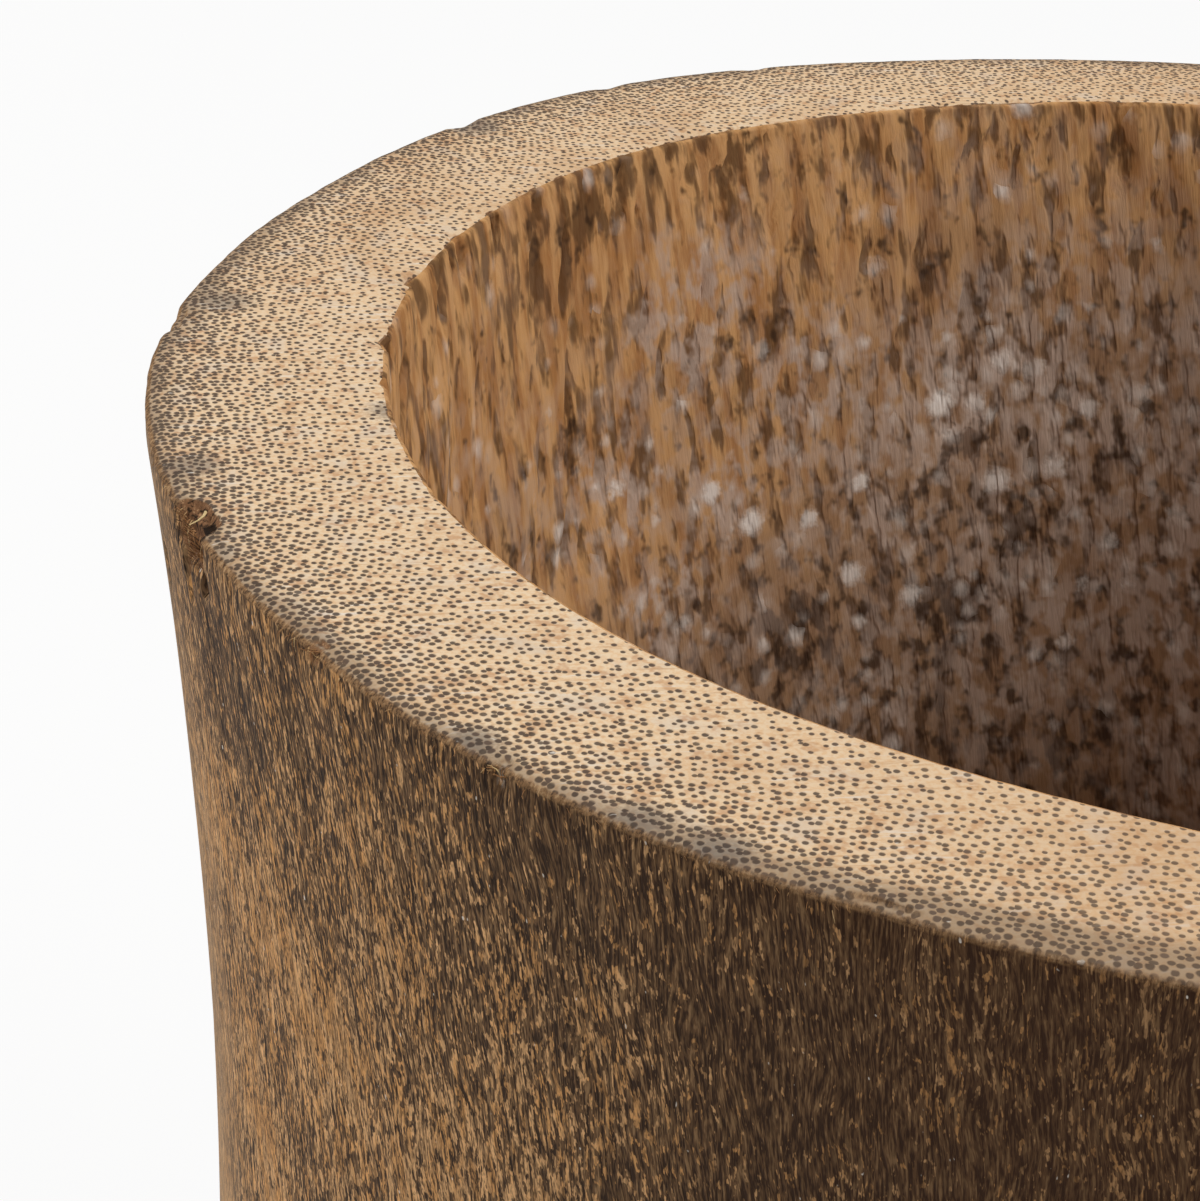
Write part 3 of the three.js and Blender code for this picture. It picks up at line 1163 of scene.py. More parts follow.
@dataclass(frozen=True)
class BoardFinish:
    """Sawn hardwood of the floor board: long grain along X, dark with damp round the drain and the edge."""

    timber: Timber
    ring_drift: Pattern = Pattern((0.012, 0.03, 0.05), seed=2.0)
    grain: Pattern = Pattern((0.06, 1.6, 1.6), 3.0, 0.65, 5.0)
    pores: Pattern = Pattern((0.22, 2.6, 2.6), 1.0, seed=8.0)
    blotches: Pattern = even(0.035, 3.0, 0.6, 12.0)
    saw_marks: Pattern = Pattern((0.5, 0.02, 0.02), 1.0, seed=20.0)
    silt_band: tuple[float, float] = (1.5, 0.5)  # millimetres under the top, from bare to silty
    heart: Colour = tone(150, 110, 74)
    early: Colour = tone(200, 158, 110)
    pore: Colour = tone(72, 50, 34)
    damp: Colour = tone(98, 74, 54)
    silt: Colour = tone(72, 57, 45)

    def material(self) -> bpy.types.Material:
        """Dress the board.

        Returns:
            The material.
        """
        graph = Graph("board_sawn_hardwood")
        place = graph.millimetres(self.timber.axis)
        _, y, z = graph.split(place)
        rings = y * 0.16 + z * 0.32 + graph.noise(self.ring_drift, place) * 9.0
        phase = graph.math("PINGPONG", rings, 1.0)
        grain = graph.noise(self.grain, place)
        colour = graph.washes(
            self.early,
            (self.heart, phase, 0.15, 0.95),
            (self.pore, grain, 0.44, 0.3, 0.6),
        )
        pits = graph.step(graph.noise(self.pores, place), 0.66, 0.74)
        colour = graph.mix(pits * 0.75, colour, self.pore)

        blotch = graph.noise(self.blotches, place)
        out = graph.measure("LENGTH", graph.vector("MULTIPLY", place, (1.0, 1.0, 0.0)))
        out += (blotch - 0.5) * 70.0
        drained = graph.step(out, 14.0, 62.0, 0.85, 0.0)
        edge = graph.step(out, 88.0, 118.0, 0.0, 0.7)
        colour = graph.mix(graph.math("MAXIMUM", drained, edge), colour, self.damp)
        bare, full = [BOARD_BOX[1].z / MM - depth for depth in self.silt_band]
        silty = graph.step(z, bare, full) * graph.step(blotch, 0.34, 0.62, 0.25, 0.85)
        colour = graph.mix(silty, colour, self.silt)
        relief = grain * 0.25 - pits * 0.2 + graph.noise(self.saw_marks, place) * 0.12
        roughness = graph.step(blotch, 0.3, 0.7, 0.86, 0.68)
        return graph.finish(colour, roughness, relief, 0.8, 0.3)


@dataclass(frozen=True)
class PegFinish:
    """Split hardwood of the pegs: grain along each peg, bruised and grimy at its driven end."""

    timber: Timber
    grain: Pattern = even(1.0, 3.0, 0.6)
    fine_grain: Pattern = Pattern((3.0, 2.6, 2.6), rough=0.6, seed=9.0)
    count: int = 8
    first_angle: float = math.radians(14.0)
    driven_start: float = 138.0  # millimetres from the axis to where the bruised end begins
    driven_full: float = 144.0
    straw: Colour = tone(206, 168, 118)
    brown: Colour = tone(160, 116, 74)
    pore: Colour = tone(92, 64, 42)
    grime_and_shade: Colour = tone(70, 52, 38)

    def material(self) -> bpy.types.Material:
        """Dress all the pegs. Each one's own length and width come from its place round the axis.

        Returns:
            The material.
        """
        graph = Graph("peg_split_hardwood")
        place = graph.millimetres(self.timber.axis)
        x, y, z = graph.split(place)
        out = graph.measure("LENGTH", graph.joined(x, y))
        angle = graph.math("ARCTAN2", y, x) - self.first_angle
        wave = graph.math("SINE", angle * float(self.count))
        aside = wave * out * (1.0 / self.count)
        number = graph.math("ROUND", angle * (self.count / math.tau))
        own = graph.joined(out * 0.05, aside * 1.2, z * 1.2 + number * 37.0)
        grain = graph.noise(self.grain, own)
        fine = graph.noise(self.fine_grain, own)
        colour = graph.washes(
            self.brown,
            (self.straw, grain, 0.34, 0.64),
            (self.pore, fine, 0.6, 0.72, 0.8),
        )
        driven = graph.step(out, self.driven_start, self.driven_full)
        colour = graph.mix(driven * graph.step(grain, 0.3, 0.7, 0.75, 0.35), colour, self.grime_and_shade)
        relief = grain * 0.3 - fine * 0.15
        return graph.finish(colour, graph.blend(driven, 0.6, 0.8), relief, 0.8, 0.35)


@dataclass(frozen=True)
class PitchFinish:
    """Black pitch, glossy where it ran and dull where soil has stuck to it."""

    timber: Timber
    swirls: Pattern = even(0.16, 3.0, 0.55, 4.0)
    grit: Pattern = even(0.9, 3.0, 0.6, 14.0)
    black: Colour = tone(38, 31, 27)
    brown: Colour = tone(66, 48, 36)
    soil: Colour = tone(98, 80, 64)

    def material(self) -> bpy.types.Material:
        """Dress the bead.

        Returns:
            The material.
        """
        graph = Graph("pitch_bead")
        place = graph.millimetres(self.timber.axis)
        swirl = graph.noise(self.swirls, place)
        grit = graph.noise(self.grit, place)
        colour = graph.wash(self.black, self.brown, swirl, 0.42, 0.66)
        dusty = graph.step(swirl + grit * 0.5, 0.78, 0.95, 0.0, 0.7)
        colour = graph.mix(dusty, colour, self.soil)
        relief = swirl * 0.8 + dusty * 0.25
        return graph.finish(colour, graph.blend(dusty, 0.36, 0.9), relief, 0.7, 0.5)


@dataclass(frozen=True)
class LooseFibreFinish:
    """Torn fibres: straw to dark brown by the shade that each one carries."""

    flecks: Pattern = Pattern((2.0, 2.0, 1.2), rough=0.6)
    straw: Colour = tone(240, 214, 158)
    tan: Colour = tone(176, 128, 82)
    umber: Colour = tone(74, 52, 37)

    def material(self) -> bpy.types.Material:
        """Dress the loose fibres.

        Returns:
            The material.
        """
        graph = Graph("palm_loose_fibre")
        place = graph.millimetres(Vector((0.0, 0.0, 0.0)))
        shade = graph.attribute("shade")
        fleck = graph.noise(self.flecks, place)
        shade += (fleck - 0.5) * 0.3
        colour = graph.washes(
            self.umber,
            (self.tan, shade, 0.0, 0.55),
            (self.straw, shade, 0.55, 1.0),
        )
        return graph.finish(colour, 0.75, fleck, 0.4, 0.3)


@dataclass(frozen=True)
class Station:
    """One point of the trunk's profile, with how far it follows each outline's waves."""

    radius: float
    height: float
    hollow_share: float
    trunk_share: float


@dataclass(frozen=True)
class Break:
    """A place where wood has broken out of the outer arris or the wall below it.

    Angles are in degrees about the axis, lengths in metres. The shade is how dark the break is painted,
    from 0 for clean wood through torn fibres to 1 for a hole painted black as shade.
    """

    angle: float
    width: float
    top: float
    length: float
    depth: float
    shade: float


@dataclass(frozen=True)
class Lump:
    """A noise over the trunk: the size of a lump across and along the fibres, in metres, and a seed."""

    across: float
    along: float
    seed: float


@dataclass
class Skin:
    """The trunk's vertices while their surface is worn, with one number for each in every array.

    Drop is the depth below the rim before any wear. Trunk and hollow are how far a vertex follows
    each outline's waves. Outside, inside and rim mark the vertices of those three faces.
    """

    angle: Array
    height: Array
    radius: Array
    drop: Array
    trunk: Array
    hollow: Array
    outside: Array
    inside: Array
    rim: Array
    cavity: Array


@dataclass
class Trunk:
    """The hollowed trunk: the solid's own outline with a worn surface."""

    timber: Timber
    sectors: int = 85
    cuts: int = 7
    outer_levels: int = 58
    arris_steps: int = 4
    rim_steps: int = 20
    lip_steps: int = 3
    hollow_levels: int = 40
    whole: float = 0.99  # share of an outline's waves that counts as all of them
    rim_zone: float = 0.5 * MM  # below the top
    ledge_margin: float = 1 * MM
    edge_reach: float = 12.0  # millimetres from the arris up to which the mesh carries its distance
    crowding: float = 0.5  # how much closer the columns lie on the side that shows
    crowded_angle: float = math.radians(-150.0)
    skin: float = 0.12 * MM  # how far the surface stays inside the solid's
    relief: float = 0.35 * MM
    fine_flutes: Lump = Lump(5 * MM, 60 * MM, 3.0)
    broad_flutes: Lump = Lump(16 * MM, 90 * MM, 9.0)
    scrapes: Lump = Lump(7 * MM, 45 * MM, 21.0)
    scrape_depth: float = 0.7 * MM
    scoops: Lump = Lump(22 * MM, 40 * MM, 33.0)
    scoop_depth: float = 1.1 * MM
    saw_size: float = 24 * MM
    saw_depth: float = 0.12 * MM
    worn_zone: float = 40 * MM  # below the rim
    general_wear: float = 0.42 * MM
    chips: Lump = Lump(11 * MM, 1.0, 40.0)
    chip_depth: float = 0.8 * MM
    nicks: Lump = Lump(3.1 * MM, 1.0, 44.0)
    tears: Lump = Lump(2 * MM, 9 * MM, 48.0)
    tear_depth: float = 0.2 * MM
    break_edge: float = 0.3 * MM  # how uneven the edge of a break is
    sink: float = 0.55  # how far a place sinks for a depth of 1
    sink_reach: float = 5 * MM
    ragged_angle: float = math.radians(130.0)  # where the lip is torn most
    lip_chips: Lump = Lump(6 * MM, 1.0, 60.0)
    lip_chip_depth: float = 1.1 * MM
    lip_nicks: Lump = Lump(2 * MM, 1.0, 64.0)
    lip_sink: float = 0.6
    lip_sink_reach: float = 6 * MM
    pits: Lump = Lump(2.6 * MM, 9 * MM, 70.0)
    pit_depth: float = 0.9 * MM
    breaks: tuple[Break, ...] = (
        Break(-144.3, 11.5 * MM, 0.0, 6.0 * MM, 2.1 * MM, 0.5),
        Break(-142.5, 2.4 * MM, 0.4 * MM, 7.0 * MM, 2.6 * MM, 0.6),
        Break(-145.0, 2.6 * MM, 1.5 * MM, 9.0 * MM, 1.8 * MM, 0.5),
        Break(-151.8, 3.4 * MM, 12.2 * MM, 3.6 * MM, 1.6 * MM, 0.6),
        Break(-119.0, 2.4 * MM, 0.0, 4.0 * MM, 1.0 * MM, 0.15),
        Break(-131.0, 3.0 * MM, 0.0, 2.5 * MM, 0.8 * MM, 0.3),
    )

    def outer_stations(self) -> list[Station]:
        """Profile from the foot up the outside to the arris, closer together near the arris.

        Returns:
            The stations, in order along the profile.
        """
        timber = self.timber
        foot = timber.trunk_mean(0.0) - timber.foot_chamfer
        stations = [Station(foot, 0.0, 0.0, 1.0)]
        top = timber.height - timber.rim_round
        for i in range(self.outer_levels + 1):
            rise = 1.0 - (1.0 - i / self.outer_levels) ** 1.9
            height = timber.foot_chamfer + (top - timber.foot_chamfer) * rise
            stations.append(Station(timber.trunk_mean(height), height, 0.0, 1.0))
        centre = timber.trunk_mean(timber.height) - timber.rim_round
        for i in range(1, self.arris_steps + 1):
            turn = math.pi / 2 * i / self.arris_steps
            radius = centre + timber.rim_round * math.cos(turn)
            stations.append(Station(radius, top + timber.rim_round * math.sin(turn), 0.0, 1.0))
        return stations

    def rim_stations(self) -> list[Station]:
        """Profile across the sawn rim, from the arris to the lip.

        Returns:
            The stations, in order along the profile.
        """
        timber = self.timber
        outer = timber.rim_radius - timber.rim_round
        inner = timber.rim_radius - timber.rim_wall + timber.lip_round
        stations = []
        for i in range(1, self.rim_steps):
            crowded = (1 - math.cos(math.pi * i / self.rim_steps)) / 2
            share = 0.6 * crowded + 0.4 * i / self.rim_steps
            stations.append(Station(outer + (inner - outer) * share, timber.height, share, 1 - share))
        return stations

    def hollow_stations(self) -> list[Station]:
        """Profile from the lip down the hollow to the ledge.

        Returns:
            The stations, in order along the profile.
        """
        timber = self.timber
        stations = []
        centre = timber.rim_radius - timber.rim_wall + timber.lip_round
        for i in range(self.lip_steps + 1):
            turn = math.pi / 2 * i / self.lip_steps
            radius = centre - timber.lip_round * math.sin(turn)
            height = timber.height - timber.lip_round * (1 - math.cos(turn))
            stations.append(Station(radius, height, 1.0, 0.0))
        top = timber.height - timber.lip_round
        for i in range(1, self.hollow_levels + 1):
            height = top + (timber.ledge_height - top) * (i / self.hollow_levels) ** 1.5
            stations.append(Station(timber.hollow_mean(height), height, 1.0, 0.0))
        return stations

    def rabbet_stations(self) -> list[Station]:
        """Profile of the ledge and the rabbet, down to the ground.

        Returns:
            The stations, in order along the profile.
        """
        timber = self.timber
        ledge = timber.ledge_height
        wall = timber.rabbet_radius
        middle = (timber.foot_radius - timber.foot_wall + wall) / 2
        return [
            Station(middle, ledge, 0.5, 0.0),
            Station(wall, ledge, 0.0, 0.0),
            Station(wall, (ledge + timber.floor_chamfer) / 2, 0.0, 0.0),
            Station(wall, timber.floor_chamfer, 0.0, 0.0),
            Station(wall + timber.floor_chamfer, 0.0, 0.0, 0.0),
            Station((wall + timber.foot_radius) / 2, 0.0, 0.0, 0.5),
        ]

    def turned(self) -> bmesh.types.BMesh:
        """Turn the profile about Z and cut each sector into columns.

        Returns:
            The lathe mesh, with each vertex's shares of the waves in layers of its own.
        """
        stations = self.outer_stations() + self.rim_stations()
        stations += self.hollow_stations() + self.rabbet_stations()
        log.info("trunk profile has %d points", len(stations))
        mesh = bmesh.new()
        layers = [mesh.verts.layers.float.new(name) for name in ("number", "radius", "hollow", "trunk")]
        ring = []
        for number, station in enumerate(stations):
            vertex = mesh.verts.new((station.radius, 0.0, station.height))
            values = (number, station.radius, station.hollow_share, station.trunk_share)
            for layer, value in zip(layers, values):
                vertex[layer] = value
            ring.append(vertex)
        spin(mesh, ring, self.sectors)
        number = layers[0]
        arcs = [edge for edge in mesh.edges if abs(edge.verts[0][number] - edge.verts[1][number]) < 0.5]
        bmesh.ops.subdivide_edges(mesh, edges=arcs, cuts=self.cuts, use_grid_fill=True)
        bmesh.ops.recalc_face_normals(mesh, faces=mesh.faces)
        hollow = layers[2]
        for face in mesh.faces:
            face.smooth = True
            inside = all(vertex[hollow] > self.whole for vertex in face.verts)
            face.material_index = (Grain.HOLLOW if inside else Grain.OUTSIDE).value
        return mesh

    def lumps(self, lump: Lump, angle: Array, height: Array) -> Array:
        """Sample a noise that is drawn out along the leaning fibres.

        Args:
            lump: The noise.
            angle: Angle of each vertex about the axis.
            height: Height of each vertex.

        Returns:
            One value from about -1 to 1 for each vertex.
        """
        radius = self.timber.rim_radius
        wound = angle + (height - self.timber.height) * math.tan(FIBRE_LEAN) / radius
        reach = radius / lump.across
        rows = np.stack([reach * np.cos(wound), reach * np.sin(wound), height / lump.along], axis=1)
        return noise_at(rows, lump.seed)

    def round_rim(self, lump: Lump, angle: Array) -> Array:
        """Sample a noise at the height of the rim, whatever height a vertex has."""
        return self.lumps(lump, angle, np.full(len(angle), self.timber.height))

    def above_floor(self, height: Array) -> Array:
        """Fade from 0 a little above the floor board to 1 higher up, for the wear of the hollow."""
        return smooth((height - self.timber.ledge_height - 9 * MM) / (12 * MM))

    def wear(self, mesh: bpy.types.Mesh) -> None:
        """Move the vertices onto the waved outline and wear, chip and tear the surface.

        Args:
            mesh: The lathe mesh with its layers.
        """
        timber = self.timber
        place = np.zeros(len(mesh.vertices) * 3)
        mesh.vertices.foreach_get("co", place)
        place = place.reshape(-1, 3)
        profile, hollow, trunk, _ = [taken(mesh, name) for name in ("radius", "hollow", "trunk", "number")]
        angle = np.arctan2(place[:, 1], place[:, 0])
        angle -= self.crowding * np.sin(angle - self.crowded_angle)
        height = place[:, 2].copy()
        edge = timber.rim_radius - profile + timber.height - height - timber.rim_round
        radius = profile - self.skin * trunk
        radius += timber.offset(timber.hollow_waves, angle, height) * hollow
        radius += timber.offset(timber.trunk_waves, angle, height) * trunk

        drop = timber.height - height
        outside = (trunk > self.whole) & (height > timber.foot_chamfer)
        inside = (hollow > self.whole) & (height > timber.ledge_height + self.ledge_margin)
        rim = (drop < self.rim_zone) & ~outside & ~inside
        skin = Skin(angle, height, radius, drop, trunk, hollow, outside, inside, rim, np.zeros(len(drop)))
        self.ripple(skin)
        self.break_arris(skin)
        self.break_rim(skin)
        self.break_lip(skin)

        place[:, 0] = timber.axis.x + skin.radius * np.cos(angle)
        place[:, 1] = timber.axis.y + skin.radius * np.sin(angle)
        place[:, 2] = skin.height
        mesh.vertices.foreach_set("co", place.reshape(-1))
        # cavity: how dark each vertex is painted, for torn fibres and for painted shade in breaks and pits
        carry(mesh, "cavity", np.clip(skin.cavity, 0.0, 1.0))
        edge = np.where(hollow > self.whole, self.edge_reach, edge / MM)
        carry(mesh, "edge", np.clip(edge, 0.0, self.edge_reach))
        mesh.update()

    def ripple(self, skin: Skin) -> None:
        """Add the low flutes of the outside, the tool marks of the hollow and the saw's ripple.

        Args:
            skin: Vertices of the trunk, whose radius and height this changes.
        """
        fluted = skin.outside | skin.rim
        angle, height = skin.angle[fluted], skin.height[fluted]
        flutes = 0.5 * self.lumps(self.fine_flutes, angle, height)
        broad = 0.5 * self.lumps(self.broad_flutes, angle, height)
        inward = (1.0 - skin.trunk[fluted]) * self.timber.rim_wall
        fade = np.clip(1.0 - inward / (6 * MM), 0.0, 1.0)
        skin.radius[fluted] -= self.relief * (1.0 + flutes + broad) * fade

        angle, height = skin.angle[skin.inside], skin.height[skin.inside]
        tooled = self.scrape_depth * self.lumps(self.scrapes, angle, height)
        tooled += self.scoop_depth * self.lumps(self.scoops, angle, height)
        below_lip = smooth((self.timber.height - height) / (22 * MM))
        skin.radius[skin.inside] += tooled * self.above_floor(height) * below_lip

        angle, radius = skin.angle[skin.rim], skin.radius[skin.rim]
        across = np.stack([radius * np.cos(angle), radius * np.sin(angle)], axis=1) / self.saw_size
        sawn = noise_at(np.column_stack([across, np.zeros(len(across))]), 5.0)
        skin.height[skin.rim] -= self.saw_depth * (0.5 + 0.5 * sawn)

    def arris_loss(self, angle: Array) -> tuple[Array, Array]:
        """Find how far the outer arris is worn away.

        Args:
            angle: Angle of each vertex about the axis.

        Returns:
            Depth of the wear at each vertex, and the noise that makes it ragged.
        """
        chip = self.round_rim(self.chips, angle)
        ragged = self.round_rim(self.nicks, angle)
        depth = self.general_wear * (0.85 + 0.15 * ragged)
        depth += self.chip_depth * smooth((chip + 0.2 * ragged - 0.25) / 0.6)
        return depth, ragged

    def break_arris(self, skin: Skin) -> None:
        """Wear the outer arris down, chip it, and break out the places listed in breaks.

        Args:
            skin: Vertices of the trunk, whose radius, height and cavity this changes.
        """
        near = skin.outside & (skin.drop < self.worn_zone)
        angle, away = skin.angle[near], skin.drop[near]
        depth, ragged = self.arris_loss(angle)
        tear = self.lumps(self.tears, angle, skin.height[near])
        torn = self.tear_depth * smooth((tear - 0.15 - away / (16 * MM)) / 0.4)
        torn *= np.exp(-away / (12 * MM)) * smooth(away / (2 * MM))
        lost = depth * np.exp(-(away / (1.5 * MM + 2.2 * depth)) ** 2) + torn
        sunk = self.sink * depth * np.exp(-away / self.sink_reach)
        # painted shade: the deeper a chip, the darker it is painted
        shade = 0.3 * smooth(lost / (2 * MM) - 0.15)
        out, down, dark = self.broken_out(angle, away, ragged)
        skin.radius[near] -= np.maximum(lost, out)
        skin.height[near] -= np.maximum(sunk, down)
        skin.cavity[near] = np.maximum(shade, dark)

    def break_rim(self, skin: Skin) -> None:
        """Let what the arris has lost reach in over the edge of the rim.

        Args:
            skin: Vertices of the trunk, whose radius, height and cavity this changes.
        """
        angle = skin.angle[skin.rim]
        depth, ragged = self.arris_loss(angle)
        out, _, dark = self.broken_out(angle, np.zeros(len(depth)), ragged)
        depth = np.maximum(depth, out)
        inward = (1.0 - skin.trunk[skin.rim]) * self.timber.rim_wall
        share = np.clip(1.0 - inward / (1.3 * depth + 0.5 * MM), 0.0, 1.0)
        skin.radius[skin.rim] -= depth * share
        skin.height[skin.rim] -= self.sink * depth * share ** 2
        # painted shade of the breaks, carried in over the rim
        skin.cavity[skin.rim] = dark * smooth(2.2 * share - 0.3)

    def broken_out(self, angle: Array, drop: Array, ragged: Array) -> tuple[Array, Array, Array]:
        """Find what the breaks take out.

        Args:
            angle: Angle of each vertex.
            drop: Depth of each vertex below the rim.
            ragged: Noise that makes the edges of a break uneven.

        Returns:
            How far each vertex moves in, how far it moves down, and how dark it is painted, as painted
            shade that deepens with the break.
        """
        deepest, lowest, darkest = np.zeros((3, len(drop)))
        lean = drop * math.tan(FIBRE_LEAN)
        for broken in self.breaks:
            along = (angle - math.radians(broken.angle) + math.pi) % math.tau - math.pi
            away = np.abs(along * self.timber.rim_radius - lean) + self.break_edge * ragged
            side = smooth(1.6 * (1.0 - away / (broken.width / 2)))
            below = (drop - broken.top) / broken.length
            if broken.top > 0:
                out = broken.depth * side * smooth(1.8 * (1.0 - np.abs(2.0 * below - 1.0)))
            else:
                out = broken.depth * side * smooth(1.5 * (1.0 - below))
                down = self.sink * broken.depth * side * np.exp(-drop / self.sink_reach)
                lowest = np.maximum(lowest, down)
            deepest = np.maximum(deepest, out)
            # painted shade: a break is painted darker the deeper it goes
            darkest = np.maximum(darkest, broken.shade * smooth(2.0 * out / broken.depth))
        return deepest, lowest, darkest

    def lip_loss(self, angle: Array) -> tuple[Array, Array]:
        """Find how far the lip of the hollow is torn away.

        Args:
            angle: Angle of each vertex about the axis.

        Returns:
            Depth of the loss at each vertex, and how ragged the lip is there, from 0 at the front to 1.
        """
        back = smooth(0.2 + 1.1 * np.cos(angle - self.ragged_angle))
        torn = self.round_rim(self.lip_chips, angle)
        small = self.round_rim(self.lip_nicks, angle)
        depth = (0.12 + 0.35 * back) * MM * (0.7 + 0.3 * small)
        return depth + self.lip_chip_depth * back * smooth((torn + 0.3 * small - 0.08) / 0.6), back

    def break_lip(self, skin: Skin) -> None:
        """Tear the lip of the hollow, most at the back and left, and pit the wall below it.

        Args:
            skin: Vertices of the trunk, whose radius, height and cavity this changes.
        """
        angle, height, away = [part[skin.inside] for part in (skin.angle, skin.height, skin.drop)]
        depth, back = self.lip_loss(angle)
        fall = depth * np.exp(-(away / (2 * MM + 2.0 * depth)) ** 2)
        pitted = smooth((self.lumps(self.pits, angle, height) - 0.22 - away / (300 * MM)) / 0.25)
        pitted *= 1.0 - (1.0 - back) * (1.0 - smooth(away / (6 * MM)))
        holes = self.pit_depth * pitted * self.above_floor(height) * smooth(away / (1.5 * MM))
        skin.radius[skin.inside] += fall + holes
        skin.height[skin.inside] -= self.lip_sink * depth * np.exp(-away / self.lip_sink_reach)
        # painted shade: the lip's tears and pits are painted darker the deeper they are
        skin.cavity[skin.inside] = np.maximum(smooth(fall / (2 * MM)), pitted)

        depth, _ = self.lip_loss(skin.angle[skin.rim])
        outward = (1.0 - skin.hollow[skin.rim]) * self.timber.rim_wall
        share = np.clip(1.0 - outward / (2.5 * depth + 0.5 * MM), 0.0, 1.0)
        skin.radius[skin.rim] += depth * share
        skin.height[skin.rim] -= self.lip_sink * depth * share ** 2

    def build(self) -> bpy.types.Object:
        """Make the trunk, drill its peg holes and dress it.

        Returns:
            The trunk.
        """
        trunk = placed("hollowed_trunk", self.turned())
        trunk.data.materials.append(OuterFinish(self.timber).material())
        trunk.data.materials.append(HollowFinish(self.timber).material())
        self.wear(trunk.data)
        PegRow(self.timber).drill(trunk)
        trunk.data.set_sharp_from_angle(angle=WORN_CREASE)
        return kept(trunk, Slot.PALM, "trunk_shell")


@dataclass(frozen=True)
class Peg:
    """One peg, as its solid has it."""

    node: str
    angle: float
    tip: float
    face: float
    height: float
    radius: float


